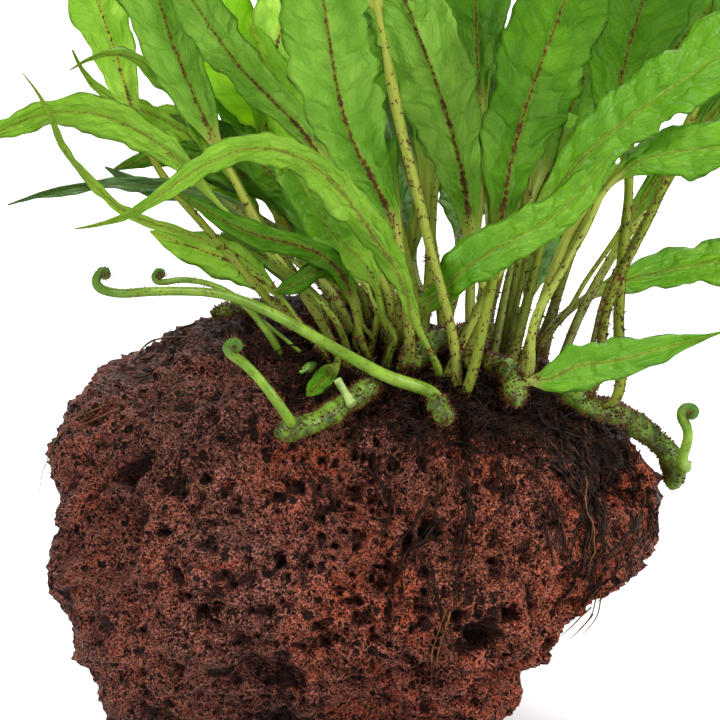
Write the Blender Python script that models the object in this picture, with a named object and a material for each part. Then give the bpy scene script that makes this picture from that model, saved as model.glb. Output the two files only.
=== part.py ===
"""Java fern grown on a lava rock.

Metres, +Z up. The origin is the centre of the flat patch that the rock rests on, and the front faces -Y.
Lengths below are in millimetres until solid() makes a mesh of them.

Most places are given as they are seen by someone who looks at the front from a little above: across to the
right, up the view, and away from the eye. from_front() turns such a place into x, y and z.
"""

import itertools
import math

import bpy
import numpy as np
from mathutils import Vector
from mathutils.bvhtree import BVHTree

MM = 0.001
GAP = 0.45  # room left between pieces that touch

FINISHES = {  # colour and roughness; "under" and "top" are fronds, by the side that is seen from the front
    "rock": ((0.085, 0.030, 0.022), 0.85),
    "rhizome": ((0.13, 0.24, 0.03), 0.50),
    "root": ((0.030, 0.016, 0.010), 0.70),
    "stalk": ((0.30, 0.42, 0.06), 0.40),
    "under": ((0.12, 0.30, 0.03), 0.45),
    "top": ((0.16, 0.38, 0.03), 0.38),
}

# How the front is seen
VIEW_CENTRE = np.array([9.0, 0.0, 77.0])
VIEW_TILT = math.radians(15.0)
VIEW_DISTANCE = 800.0
SIGHT = np.array([0.0, math.cos(VIEW_TILT), -math.sin(VIEW_TILT)])
VIEW_UP = np.array([0.0, math.sin(VIEW_TILT), math.cos(VIEW_TILT)])

# The rock
ROCK_CENTRE = np.array([8.0, 0.0, 42.0])
ROCK_HALF_DEPTH = 47.0
ROCK_BOXINESS = 2.9  # 2 is an ellipse from front to back
ROCK_OUTLINE = [  # (x, z) from the front, clockwise from the top
    (4, 90), (20, 86), (32, 79), (46, 73), (57, 67), (66, 60), (73, 53), (74, 46), (71, 38), (53, 33),
    (46, 31), (35, 28), (38, 21), (42, 12), (37, 0), (25, -8), (-23, -5), (-26, 8), (-44, 8), (-46, 17),
    (-50, 23), (-43, 31), (-37, 42), (-50, 51), (-54, 58), (-52, 67), (-46, 73), (-33, 75), (-23, 82),
    (-10, 89),
]
NOISE_SPHERE = 50.0  # radius of the sphere on which lumps and pits are laid out
LUMPS = [  # (size across, height, seed)
    (44.0, 5.0, 3),
    (21.0, 4.0, 11),
    (11.0, 2.2, 23),
]
PITS = [  # (spacing, share of places with a pit, radius in spacings, depth, seed)
    (22.0, 0.50, 0.40, 6.0, 5),
    (12.0, 0.45, 0.42, 3.4, 17),
]
SIDE_RELIEF = 1.6  # how much stronger lumps and pits are on the sides than on top, where the plant grows
RIM_RELIEF = 0.35  # share of the lumps that is left at the front outline
OUTLINE_TURNS = range(-30, 31, 10)  # degrees over which the outline is evened out towards the front and back
FARTHEST_OUT = 70.0  # nothing that lies on the rock is farther from its centre than this
ROCK_STEPS = 14  # rows of faces along each side of the six patches that make the rock

# The creeping stems: (name, thickness, [(across, up) on the rock])
RHIZOMES = [
    ("rhizome_left", 4.8, [(-15, -16), (-9, -14), (-3, -10), (3, -6.5)]),
    ("rhizome_middle", 5.2, [(9, -2), (13, 0.3), (18.5, 2.2), (24, 2.6)]),
    ("rhizome_front", 4.4, [(16.5, -13), (14, -9.5)]),
    ("rhizome_mid_right", 4.8, [(29, -10), (27.5, -5.5), (23.5, -2.5)]),
    ("rhizome_right", 5.2, [(36, -5), (42, -10), (48, -12), (54, -16), (59, -21), (61, -25)]),
    ("rhizome_back", 5.0, [(-27, 6.5), (-20, 7.5), (-14, 7)]),
]

RHIZOME_SIDES = 8
KNOBS = 0.13  # how much the thickness swells and shrinks, as a share
BLUNT_END = 0.6  # thickness at the ends, as a share

# Roots over the rock: (name, thickness, [(across, up) on the rock])
ROOT_BUNDLES = [
    ("roots_front", 1.8, [(16, -17), (20, -22), (19, -32), (19, -44), (20, -55)]),
    ("roots_right", 2.6, [(45, -16), (48, -24), (49, -34), (47, -44), (42, -51)]),
    ("roots_left", 1.4, [(-20, -4), (-32, -6), (-43, -8), (-52, -12)]),
]

ROOT_RINGS = 12
ROOT_SIDES = 5
ROOT_TAPER = 0.35  # thickness at the end, as a share

# A stem or root that would touch the rock is lifted in small steps
LIFTING_ROUNDS = 30
LIFT_STEP = 0.2
LIFT_TO_SPARE = 0.1

# Young fronds still rolled up: (name, base thickness, tip thickness, coil radius, turns, coil side,
# [(across, up, away from the base)]); the first place is on the rock
FIDDLEHEADS = [
    ("fiddlehead_long", 3.0, 1.7, 2.2, 0.9, 1,
     [(14, -8, 0), (4, -2.5, -2), (-8, 4, -1), (-18, 9.5, 2), (-30, 13.5, 6), (-42, 13.6, 10),
      (-51, 13.9, 13)]),
    ("fiddlehead_back", 1.8, 1.2, 1.2, 0.9, 1,
     [(-17, 3, 0), (-22, 10, 0), (-28, 14.4, 2), (-35, 16, 3), (-40, 15.6, 4)]),
    ("fiddlehead_front", 2.6, 1.8, 1.3, 0.8, 1,
     [(-9.5, -13.5, 0), (-13, -11.5, -3), (-18, -6.5, -6), (-23.5, -0.5, -6), (-26, 1.5, -6)]),
    ("fiddlehead_right", 3.0, 2.2, 1.6, 0.8, 1,
     [(60, -23, 0), (64.5, -20, -5), (65.6, -15, -7), (64.5, -11.5, -8)]),
]
FIDDLE_STALK_RINGS = 10
FIDDLE_COIL_RINGS = 7
FIDDLE_SIDES = 6
COIL_TIGHTENING = 0.55  # share of the coil's radius that is lost from its start to its end
COIL_SHIFT = 0.9  # how far the coil moves sideways over its length, in thicknesses, to pass beside itself

# The fronds: (name, width, share of the length that is bare stalk, where the blade is widest, roll in degrees,
# side that shows, how far the middle and the tip lean away from the eye, [(across, up)]); the first place
# is where the stalk leaves the rock or a rhizome
FRONDS = [
    ("frond_front_left", 17.0, 0.24, 0.50, 0, "under", (-10, -26),
     [(9, -2), (8.6, 14), (5, 31), (-2, 45), (-5.5, 60), (-8, 76), (-10, 108)]),
    ("frond_front_middle", 17.0, 0.24, 0.50, 0, "under", (-7, -18),
     [(20.5, -1.5), (22, 18), (20, 35), (16, 52), (11, 66), (4, 86), (-2, 108)]),
    ("frond_front_right", 17.0, 0.26, 0.52, 0, "under", (-4, -8),
     [(20.6, -6.6), (23, 6), (26, 18), (28.6, 32), (32.5, 48), (38, 64), (47, 86), (56, 106)]),
    ("frond_tall_right", 21.0, 0.44, 0.55, 5, "under", (10, 16),
     [(43.8, -11.8), (51.6, 4), (52.5, 22), (53.8, 36), (51.8, 52), (55.5, 68), (60, 86), (62, 108)]),
    ("frond_sweeping_right", 14.0, 0.30, 0.60, 18, "top", (-16, -30),
     [(17, -3.5), (23, 9), (29, 20), (36, 30), (46, 42), (56, 50), (66, 57), (78, 64), (98, 70)]),
    ("frond_short", 9.0, 0.14, 0.50, 10, "top", (-16, -26),
     [(8.5, 1.5), (14, 8.5), (20, 14.5), (28, 21), (36, 26), (44, 33), (50, 41)]),
    ("frond_level_right", 9.5, 0.52, 0.45, 10, "top", (-10, -22),
     [(29.6, -7), (34, 4), (39, 16), (46, 29), (52, 38), (60, 41), (72, 42.5), (90, 40)]),
    ("frond_low_right", 8.6, 0.30, 0.55, 0, "top", (6, 12),
     [(33, -1), (38, 6), (44, 11.5), (52, 15.5), (62, 18), (74, 20), (92, 18)]),
    ("frond_lowest_right", 9.6, 0.03, 0.30, 10, "top", (-5, -5),
     [(29.6, -7.6), (34.6, -4.4), (41, -2.2), (51, -0.2), (58.4, 1.8), (65.2, 3.5), (73, 5.8)]),
    ("frond_scaly_right", 14.0, 0.62, 0.50, 0, "under", (-4, -10),
     [(40.6, -8.8), (48, 3), (52.4, 18), (56, 25), (61.6, 37), (66, 48), (69.6, 56), (78, 76), (86, 100)]),
    ("frond_leaning_right", 12.0, 0.56, 0.50, 0, "top", (10, 24),
     [(38, -4), (46, 13), (52, 23), (60, 34), (66, 44), (72, 53), (84, 67), (98, 78)]),
    ("frond_front_stalk", 14.0, 0.60, 0.50, 0, "under", (-14, -30),
     [(18.5, -5), (17.2, 7), (13.4, 25), (9, 42), (5, 62), (1, 80), (-6, 100), (-12, 118)]),
    ("frond_middle_back", 15.0, 0.46, 0.50, -8, "top", (9, 20),
     [(20, 2), (22.6, 10), (25.4, 18), (26.6, 27), (25.2, 40), (23.8, 54), (23, 72), (22, 106)]),
    ("frond_far_left", 13.0, 0.50, 0.55, 0, "under", (6, 8),
     [(-8, 3), (-20, 14), (-31, 26), (-41.6, 39), (-46.4, 52), (-51, 67), (-57, 84), (-61, 98)]),
    ("frond_left", 14.5, 0.42, 0.55, -8, "under", (-2, -6),
     [(-5, 3), (-12, 13), (-19.6, 26), (-29, 44), (-34.5, 56), (-39, 68), (-43, 86), (-46, 104)]),
    ("frond_left_slant", 12.5, 0.36, 0.50, 12, "under", (-6, -14),
     [(5, 4), (1, 18), (-5, 34), (-12, 46), (-22, 56), (-31, 68), (-42, 84), (-49, 94)]),
    ("frond_left_bright", 17.0, 0.38, 0.55, -6, "under", (8, 14),
     [(7, 6), (0, 20), (-9, 36), (-18, 50), (-28, 63), (-36, 78), (-43, 96)]),
    ("frond_left_pale", 13.0, 0.36, 0.55, 0, "under", (12, 26),
     [(-2, 6), (-14, 22), (-18.6, 40), (-18, 56), (-14, 72), (-8, 90), (-4, 104)]),
    ("frond_left_arch", 8.5, 0.40, 0.40, 25, "top", (-14, -26),
     [(-3, 4), (-15, 18), (-27, 29.5), (-37, 40.5), (-48, 47.6), (-60, 49.8), (-72, 46), (-84, 40)]),
    ("frond_near_arch", 11.0, 0.12, 0.34, 10, "top", (-34, -58),
     [(15.5, -4), (12.5, 9), (8, 17), (3, 25), (-2, 32), (-10, 39.5), (-19, 42.4), (-28, 40.5), (-38, 34.5),
      (-47, 28.8), (-57, 26.2)]),
    ("frond_left_curl", 6.0, 0.36, 0.45, 20, "top", (-2, -8),
     [(-6, 6), (-18, 26), (-30, 44), (-38, 54), (-46, 61), (-52, 61), (-58, 58)]),
    ("frond_left_thin_tip", 9.0, 0.30, 0.30, 10, "top", (2, 0),
     [(-7, 7), (-20, 30), (-31, 43), (-40, 49), (-47, 51.5), (-53, 55), (-57.5, 62)]),
    ("frond_left_whip", 4.0, 0.30, 0.45, 0, "top", (-10, -20),
     [(-6.5, 0.5), (-14, 12), (-24, 21), (-36, 26), (-47, 30), (-54, 36), (-60, 44), (-64, 53),
      (-67.6, 57.5)]),
    ("frond_left_dark", 5.5, 0.36, 0.45, 30, "top", (0, 4),
     [(-4, 5), (-12, 18), (-22, 28), (-34, 34), (-46, 35), (-58, 34.4), (-70.5, 31)]),
    ("frond_left_small", 4.5, 0.40, 0.50, 20, "top", (4, 8),
     [(0, 6), (-10, 22), (-22, 31), (-36, 34.6), (-44, 36), (-51, 38.6)]),
    ("frond_left_low", 7.5, 0.24, 0.45, 0, "under", (0, 2),
     [(-9, 4), (-14, 11.5), (-20, 16), (-28, 20.4), (-35, 23), (-42, 25.8)]),
    ("frond_blunt", 7.4, 0.58, 0.72, 0, "under", (-12, -22),
     [(7, -1), (5, 6), (3, 13.5), (0.5, 19.5), (-3.5, 23.4)]),
    ("frond_speckled", 6.5, 0.20, 0.40, 0, "under", (-12, -20),
     [(2.5, 1), (-1, 10), (-5, 18), (-12, 22.5), (-21, 25), (-30, 29.5), (-38, 34.5)]),
    ("frond_small_dark", 4.5, 0.40, 0.55, 10, "under", (-10, -18),
     [(3, 3), (-1, 11), (-6, 16), (-11, 16), (-17, 13.5)]),
    ("frond_inner_left_1", 8.0, 0.28, 0.45, 15, "under", (2, 4),
     [(-2, 5), (-6, 16), (-12, 28), (-20, 38), (-29, 45), (-38, 49)]),
    ("frond_inner_left_2", 10.0, 0.30, 0.50, -10, "top", (6, 12),
     [(3, 5), (-1, 18), (-7, 32), (-13, 44), (-18, 56), (-22, 68)]),
    ("frond_inner_left_3", 7.0, 0.30, 0.45, 10, "under", (-4, -8),
     [(1, 6), (-7, 20), (-16, 30), (-27, 37), (-39, 40), (-49, 38)]),
    ("frond_inner_left_4", 9.0, 0.28, 0.50, 0, "top", (-2, -4),
     [(5, 3), (1, 13), (-5, 24), (-11, 34), (-18, 44)]),
    ("frond_behind_left", 15.0, 0.36, 0.50, 0, "top", (8, 18),
     [(6, 6), (4, 22), (1, 38), (-1, 56), (1, 74), (4, 96)]),
    ("frond_behind_middle", 15.0, 0.34, 0.50, 0, "top", (14, 28),
     [(12, 5), (14, 24), (15, 42), (14, 60), (14, 80), (17, 102)]),
    ("frond_behind_right", 14.0, 0.36, 0.50, 0, "top", (10, 22),
     [(30, 0), (33, 20), (37, 36), (43, 52), (50, 68), (58, 86)]),
    ("frond_right_strip", 4.0, 0.40, 0.55, 0, "top", (2, 2),
     [(35, -2.5), (47, 18), (58, 34), (66, 44), (76, 47.5)]),
    ("frond_right_narrow", 5.0, 0.55, 0.55, 0, "top", (6, 12),
     [(42, -6), (50, 16), (60, 33), (68, 46), (78, 58), (90, 72)]),
    ("frond_right_upper", 14.0, 0.40, 0.50, 0, "top", (18, 34),
     [(34, 0.5), (44, 26), (54, 48), (66, 66), (78, 78), (92, 88)]),
    ("frond_back_1", 14.0, 0.36, 0.50, 0, "top", (30, 76),
     [(1.5, 9.5), (-1, 24), (-1, 40), (2, 54), (4, 64)]),
    ("frond_back_2", 15.0, 0.34, 0.50, 0, "top", (36, 92),
     [(8, 6), (7, 26), (6, 44), (5, 60), (3, 72)]),
    ("frond_back_3", 14.0, 0.36, 0.50, 0, "top", (30, 84),
     [(17, 5), (20, 22), (21, 36), (22, 48), (24, 56)]),
    ("frond_back_4", 15.0, 0.34, 0.50, 0, "top", (34, 96),
     [(24, 4), (29, 22), (33, 38), (38, 52), (44, 62)]),
    ("frond_back_5", 12.0, 0.36, 0.50, 0, "top", (40, 86),
     [(12.5, 6), (10, 20), (8, 30), (8, 38), (9, 43)]),
    ("frond_back_6", 12.0, 0.34, 0.50, 0, "top", (44, 92),
     [(31, 1), (34, 15), (35, 25), (36, 31), (37, 34)]),
    ("frond_hanging", 4.2, 0.12, 0.50, 0, "top", (-7, -9),
     [(-3, 0), (-5.8, -4.2), (-9, -8.8)]),
]
FROND_NODES = 11
BLADE_THICKNESS = 0.9
BLADE_FOLD = 0.10  # rise of the edges for each millimetre from the midrib
SAMPLES_PER_NODE = 4  # places along a frond at which it is kept clear of the others
SAMPLES_ACROSS = 5
LEAST_DISTANCE = 3.1  # between the sampled points of two fronds
LEAST_HEIGHT = 1.75  # of those points over the rock and the rhizomes
FOOT_DISTANCE = 3.4  # between the feet of two stalks
FOOT_ROUNDS = 60
DEPTH_OVER_ROCK = 4.0  # least distance in front of the rock of all but a frond's lowest nodes
LOW_NODES = 2  # the nodes next to the foot, which say most about which of two fronds is in front
SETTLING_ROUNDS = 160
PARTING_ROUNDS = 180
LAST_ROUNDS = 50
EVENING = 0.08  # share of a bend that is taken out in each round


def lattice_value(cell, seed):
    """A number from 0 to 1 for each whole-number cell, mixed from its three indices and the seed."""
    x, y, z = (cell[..., i].astype(np.int64).astype(np.uint32) for i in range(3))
    mixed = x * np.uint32(73856093) ^ y * np.uint32(19349663) ^ z * np.uint32(83492791)
    mixed = (mixed ^ np.uint32(seed * 9781 + 7)) * np.uint32(2654435761)
    mixed = (mixed ^ (mixed >> np.uint32(13))) * np.uint32(1274126177)
    return (mixed ^ (mixed >> np.uint32(16))).astype(float) / 2**32


def soft_noise(points, size, seed):
    """Smooth noise from -1 to 1, about size across: the values at a cell's eight corners, eased together."""
    at = points / size
    low = np.floor(at)
    part = at - low
    part = part * part * (3 - 2 * part)
    total = np.zeros(points.shape[:-1])
    for corner in itertools.product((0, 1), repeat=3):
        share = np.where(np.array(corner, bool), part, 1 - part).prod(axis=-1)
        total += share * lattice_value(low + corner, seed)
    return 2 * total - 1


def nearest_centre(points, spacing, seed):
    """Distance in spacings to the nearest of the centres strewn one to a cell, and that centre's number."""
    at = points / spacing
    low = np.floor(at)
    best = np.full(points.shape[:-1], 9.0)
    number = np.zeros(points.shape[:-1])
    for step in itertools.product((-1, 0, 1), repeat=3):
        cell = low + step
        centre = cell + np.stack([lattice_value(cell, seed + i) for i in range(3)], axis=-1)
        distance = np.linalg.norm(at - centre, axis=-1)
        closer = distance < best
        best = np.where(closer, distance, best)
        number = np.where(closer, lattice_value(cell, seed + 3), number)
    return best, number


def outline_radius(angle):
    """Distance from the rock's centre to its front outline at each angle."""
    corners = np.array(ROCK_OUTLINE, float) - ROCK_CENTRE[[0, 2]]
    ends = np.roll(corners, -1, axis=0)
    shares = np.linspace(0, 1, 8, endpoint=False)[:, None, None]
    along = (corners + shares * (ends - corners)).reshape(-1, 2)
    return np.interp(angle, np.arctan2(along[:, 1], along[:, 0]), np.hypot(*along.T), period=2 * math.pi)


def rock_radius(directions, pitted=True):
    """Distance from the rock's centre to its surface along each unit direction.

    The body is the front outline, carried to the front and the back as a boxy ellipse whose outline grows
    smoother with depth. Lumps are noise on a sphere, held back near the outline, and pits are round bowls;
    both are gentler on top.
    """
    x, y, z = np.moveaxis(directions, -1, 0)
    angle = np.arctan2(z, x)
    smooth = sum(outline_radius(angle + math.radians(turn)) for turn in OUTLINE_TURNS) / len(OUTLINE_TURNS)
    depth_share = np.clip(1.6 * np.abs(y), 0, 1)
    outline = outline_radius(angle) * (1 - depth_share) + smooth * depth_share
    flat = (np.hypot(x, z) / outline) ** ROCK_BOXINESS
    deep = (np.abs(y) / ROCK_HALF_DEPTH) ** ROCK_BOXINESS
    radius = (flat + deep) ** (-1 / ROCK_BOXINESS)
    points = directions * NOISE_SPHERE
    relief = 1 + (SIDE_RELIEF - 1) * np.clip(1.5 - 2.5 * z, 0, 1)
    lumpy = relief * (RIM_RELIEF + (1 - RIM_RELIEF) * depth_share)
    for size, height, seed in LUMPS:
        radius = radius + height * lumpy * soft_noise(points, size, seed)
    if pitted:
        for spacing, share, reach, depth, seed in PITS:
            distance, number = nearest_centre(points, spacing, seed)
            bowl = np.clip(1 - (distance / reach) ** 2, 0, 1)
            radius = radius - np.where(number < share, relief * depth * bowl * (0.5 + number / share / 2), 0)
    return np.minimum(radius, ROCK_CENTRE[2] / np.maximum(-z, 1e-9))


def from_front(places):
    """Turn places seen from the front, across, up and away, into x, y and z; far ones spread out."""
    across, up, away = np.moveaxis(np.asarray(places, float), -1, 0)
    spread = 1 + away / VIEW_DISTANCE
    sideways = np.stack([across * spread, 0 * across, 0 * across], axis=-1)
    return VIEW_CENTRE + sideways + (up * spread)[..., None] * VIEW_UP + away[..., None] * SIGHT


def to_front(points):
    """Turn x, y and z into across, up and away as they are seen from the front."""
    offset = np.asarray(points, float) - VIEW_CENTRE
    away = offset @ SIGHT
    spread = 1 + away / VIEW_DISTANCE
    return np.stack([offset[..., 0] / spread, offset @ VIEW_UP / spread, away], axis=-1)


def rock_away(across, up):
    """How far away the rock is first met at each place of the view, or a large number where it isn't."""
    reach = np.arange(-FARTHEST_OUT, FARTHEST_OUT, 1.0)
    across, up = np.asarray(across)[..., None], np.asarray(up)[..., None]
    places = np.stack(np.broadcast_arrays(across, up, reach), -1)
    offset = from_front(places) - ROCK_CENTRE
    distance = np.linalg.norm(offset, axis=-1)
    inside = distance < rock_radius(offset / distance[..., None], pitted=False)
    return np.where(inside.any(axis=-1), reach[inside.argmax(axis=-1)], 1e3)


def smooth_path(points, count):
    """Points at even steps along the natural cubic curve through the given ones."""
    points = np.asarray(points, float)
    steps = np.linalg.norm(np.diff(points, axis=0), axis=1)
    at = np.concatenate([[0.0], np.cumsum(steps)])
    slopes = np.diff(points, axis=0) / steps[:, None]
    matrix = np.eye(len(points))
    wanted = np.zeros_like(points)
    for i in range(1, len(points) - 1):
        matrix[i, i - 1 : i + 2] = steps[i - 1], 2 * (steps[i - 1] + steps[i]), steps[i]
        wanted[i] = 6 * (slopes[i] - slopes[i - 1])
    bend = np.linalg.solve(matrix, wanted)
    place = np.linspace(0, at[-1], count)
    span = np.clip(np.searchsorted(at, place, side="right") - 1, 0, len(steps) - 1)
    before = (place - at[span])[:, None]
    after = (at[span + 1] - place)[:, None]
    length = steps[span][:, None]
    curve = bend[span] * after**3 + bend[span + 1] * before**3
    curve = curve / (6 * length) + (points[span] / length - bend[span] * length / 6) * after
    return curve + (points[span + 1] / length - bend[span + 1] * length / 6) * before


def unit(vectors):
    """The vectors at length 1."""
    return vectors / np.linalg.norm(vectors, axis=-1, keepdims=True)


def solid(name, rings, kind):
    """Close a stack of rings, given as rows of points in millimetres, with two end faces."""
    count = len(rings[0])
    origin = rings[0].mean(axis=0)
    points = (np.concatenate(rings) - origin) * MM
    faces = [tuple(range(count))[::-1]]
    for row in range(len(rings) - 1):
        for i in range(count):
            low, high = row * count + i, row * count + (i + 1) % count
            faces.append((low, high, high + count, low + count))
    faces.append(tuple(range(len(points) - count, len(points))))
    return placed(name, points, faces, origin, kind)


def placed(name, points, faces, origin, kind):
    """Make a named object of the mesh, with its origin at the given point and its own material."""
    mesh = bpy.data.meshes.new(name)
    mesh.from_pydata([tuple(point) for point in points], [], faces)
    mesh.shade_smooth()
    mesh.set_sharp_from_angle(angle=math.radians(50))
    colour, roughness = FINISHES[kind]
    material = bpy.data.materials.new(name)
    material.use_nodes = True
    shader = material.node_tree.nodes["Principled BSDF"]
    shader.inputs["Base Color"].default_value = (*colour, 1.0)
    shader.inputs["Roughness"].default_value = roughness
    shader.inputs["Metallic"].default_value = 0.0
    mesh.materials.append(material)
    piece = bpy.data.objects.new(name, mesh)
    piece.location = Vector(origin * MM)
    bpy.context.collection.objects.link(piece)
    return piece


def lava_rock():
    """The rock: six square patches of a cube pushed out to rock_radius, sewn along their edges."""
    steps = np.tan(np.linspace(-math.pi / 4, math.pi / 4, ROCK_STEPS + 1))
    a, b = np.meshgrid(steps, steps, indexing="ij")
    points, faces = {}, []
    for axis, sign in itertools.product(range(3), (-1, 1)):
        patch = np.empty((*a.shape, 3))
        patch[..., axis] = sign
        patch[..., (axis + 1) % 3] = a * sign
        patch[..., (axis + 2) % 3] = b
        keys = [[tuple(np.round(spot, 6)) for spot in row] for row in patch]
        numbers = [[points.setdefault(key, len(points)) for key in row] for row in keys]
        for i, j in itertools.product(range(ROCK_STEPS), repeat=2):
            faces.append((numbers[i][j], numbers[i + 1][j], numbers[i + 1][j + 1]))
            faces.append((numbers[i][j], numbers[i + 1][j + 1], numbers[i][j + 1]))
    directions = unit(np.array(list(points)))
    surface = directions * rock_radius(directions)[:, None]
    return placed("lava_rock", surface * MM, faces, ROCK_CENTRE, "rock")


def tree_of(pieces):
    """A search tree of the pieces' faces, in millimetres."""
    corners, faces = [], []
    for piece in pieces:
        start = len(corners)
        corners += [(vertex.co + piece.location) / MM for vertex in piece.data.vertices]
        faces += [[start + i for i in face.vertices] for face in piece.data.polygons]
    return BVHTree.FromPolygons(corners, faces)


def lie_on(tree, points, height):
    """Move each point along its line from the rock's centre until it is the given height above the ground."""
    moved = []
    for point in np.atleast_2d(points):
        out = unit(point - ROCK_CENTRE)
        hit = tree.ray_cast(Vector(ROCK_CENTRE + out * 2 * FARTHEST_OUT), Vector(-out))[0]
        moved.append(np.array(hit) + out * height)
    return np.array(moved)


def seen_on_rock(places):
    """The points of the rock that are seen at the given places across and up."""
    places = np.asarray(places, float)
    away = rock_away(places[:, 0], places[:, 1])
    return from_front(np.column_stack([places, away]))


def tube_rings(path, radii, sides):
    """Rings of the given radii square to the path, turned so that none twists against its neighbour."""
    tangents = unit(np.gradient(path, axis=0))
    angles = np.linspace(0, 2 * math.pi, sides, endpoint=False)
    across = unit(np.cross(tangents[0], SIGHT))
    rings = []
    for point, tangent, radius in zip(path, tangents, radii):
        across = unit(across - tangent * (across @ tangent))
        normal = np.cross(tangent, across)
        rings.append(point + radius * (np.outer(np.cos(angles), across) + np.outer(np.sin(angles), normal)))
    return rings


def lifted_clear(name, path, radii, sides, kind, below):
    """A tube along the path, raised from the rock where it would touch what lies below."""
    lift = np.zeros(len(path))
    out = unit(path - ROCK_CENTRE)
    ground = tree_of(below)
    for _ in range(LIFTING_ROUNDS):
        rings = tube_rings(path + out * lift[:, None], radii, sides)
        touching = clear_distance(ground, rings) < GAP + LIFT_TO_SPARE
        if not touching.any():
            break
        spread = touching | np.roll(touching, 1) | np.roll(touching, -1)
        lift = lift + LIFT_STEP * spread
    eased = np.convolve(np.pad(lift, 1, mode="edge"), (0.25, 0.5, 0.25), "valid")
    lift = np.maximum(lift, eased) + LIFT_TO_SPARE
    return solid(name, tube_rings(path + out * lift[:, None], radii, sides), kind)


def clear_distance(ground, rings):
    """For each ring, the least distance outside the ground of its points and those halfway to the next."""
    rings = np.array(rings)
    halfway = (rings + np.roll(rings, -1, axis=0)) / 2
    halfway[-1] = rings[-1]
    least = []
    for ring in np.concatenate([rings, halfway], axis=1):
        gaps = []
        for point in ring:
            near, normal, _, distance = ground.find_nearest(Vector(point))
            outside = (Vector(point) - near).dot(normal) > 0
            gaps.append(distance if outside else -distance)
        least.append(min(gaps))
    return np.array(least)


def rhizome(rock, name, thickness, places, placed_before):
    """A creeping stem on the rock, knobbly, with blunt ends."""
    count = max(5, round(4 + 1.2 * len(places)))
    path = lie_on(tree_of([rock]), smooth_path(seen_on_rock(places), count), thickness / 2 + GAP)
    knobs = 1 + KNOBS * np.sin(np.arange(count) * 2.4 + thickness)
    ends = np.ones(count)
    ends[[0, -1]] = BLUNT_END
    radii = thickness / 2 * knobs * ends
    return lifted_clear(name, path, radii, RHIZOME_SIDES, "rhizome", [rock, *placed_before])


def root_bundle(rock, name, thickness, places, placed_before):
    """A bundle of thin roots that runs down the rock and ends in a point."""
    path = lie_on(tree_of([rock]), smooth_path(seen_on_rock(places), ROOT_RINGS), thickness / 2 + GAP)
    radii = thickness / 2 * np.linspace(1, ROOT_TAPER, ROOT_RINGS)
    return lifted_clear(name, path, radii, ROOT_SIDES, "root", [rock, *placed_before])


def fiddlehead(ground, name, base, tip, coil, turns, side, places):
    """A young frond: a stalk that tapers into a spiral coil."""
    places = np.array(places, float)
    start = lie_on(tree_of(ground), seen_on_rock(places[:1, :2]), GAP + base * 0.7)[0]
    seen = to_front(start)
    places[:, 2] += seen[2]
    places[0] = seen
    stalk = smooth_path(places, FIDDLE_STALK_RINGS)
    heading = unit(stalk[-1, :2] - stalk[-2, :2])
    turned = np.array([heading[1], -heading[0]]) * side
    angles = np.linspace(0, 2 * math.pi * turns, FIDDLE_COIL_RINGS + 1)[1:]
    radius = coil * (1 - COIL_TIGHTENING * angles / angles[-1])
    middle = stalk[-1, :2] + turned * coil
    spiral = middle - np.outer(radius * np.cos(angles), turned) + np.outer(radius * np.sin(angles), heading)
    shift = COIL_SHIFT * tip * angles / angles[-1]
    path = from_front(np.vstack([stalk, np.column_stack([spiral, stalk[-1, 2] - shift])]))
    diameters = [np.linspace(base, tip, FIDDLE_STALK_RINGS), np.linspace(tip, tip * 0.6, FIDDLE_COIL_RINGS)]
    return solid(name, tube_rings(path, np.concatenate(diameters) / 2, FIDDLE_SIDES), "stalk")


def stalk_radius(width):
    """Half the thickness of the stalk that carries a blade of the given width."""
    return 0.75 + 0.024 * width


def half_widths(width, stalk, widest, at):
    """Half the frond's width at shares of its length: a bare stalk, then a lance-shaped blade."""
    along = np.clip((at - stalk) / (1 - stalk), 0, 1)
    power = 0.75 * (0.5 / widest) ** 1.3
    rise = power * widest / (1 - widest)
    shape = along**rise * (1 - along) ** power
    peak = widest**rise * (1 - widest) ** power
    return np.maximum(width / 2 * shape / peak, stalk_radius(width) * (1 - 0.75 * along))


def frond_frames(path, roll):
    """Across and face directions at each point of the path, the face to the eye and then rolled."""
    tangents = unit(np.gradient(path, axis=0))
    sight = unit(path - (VIEW_CENTRE - SIGHT * VIEW_DISTANCE))
    across = unit(np.cross(sight, tangents))
    face = np.cross(across, tangents)
    angle = math.radians(roll)
    turned = across * math.cos(angle) + face * math.sin(angle)
    return turned, face * math.cos(angle) - across * math.sin(angle)


def feet(ground):
    """Where the fronds' stalks start, moved along the ground until none is too near another."""
    points = lie_on(ground, seen_on_rock([row[-1][0] for row in FRONDS]), LEAST_HEIGHT)
    for _ in range(FOOT_ROUNDS):
        between = points[:, None] - points[None]
        distance = np.linalg.norm(between, axis=-1) + 1e-6
        short = np.clip(FOOT_DISTANCE - distance, 0, None) * (1 - np.eye(len(points)))
        if not short.any():
            break
        push = (between / distance[..., None] * short[..., None]).sum(axis=1)
        points = lie_on(ground, points + 0.4 * push, LEAST_HEIGHT)
    return points


def frond_path(row, foot):
    """The frond's places seen from the front before it is settled, from its foot to its tip."""
    (middle, tip), places = row[6:]
    seen = to_front(foot)
    path = smooth_path(np.vstack([seen[:2], places[1:]]), FROND_NODES)
    at = np.linspace(0, 1, FROND_NODES)
    lean = at * (4 * middle - tip) + at**2 * (2 * tip - 4 * middle)
    return np.column_stack([path, seen[2] + lean])


def sampling():
    """Shares of a frond's length at its samples, and how far each sample belongs to each node."""
    at = np.linspace(0, 1, SAMPLES_PER_NODE * (FROND_NODES - 1) + 1)
    nodes = np.linspace(0, 1, FROND_NODES)
    return at, np.array([np.interp(at, nodes, line) for line in np.eye(FROND_NODES)]).T


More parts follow.
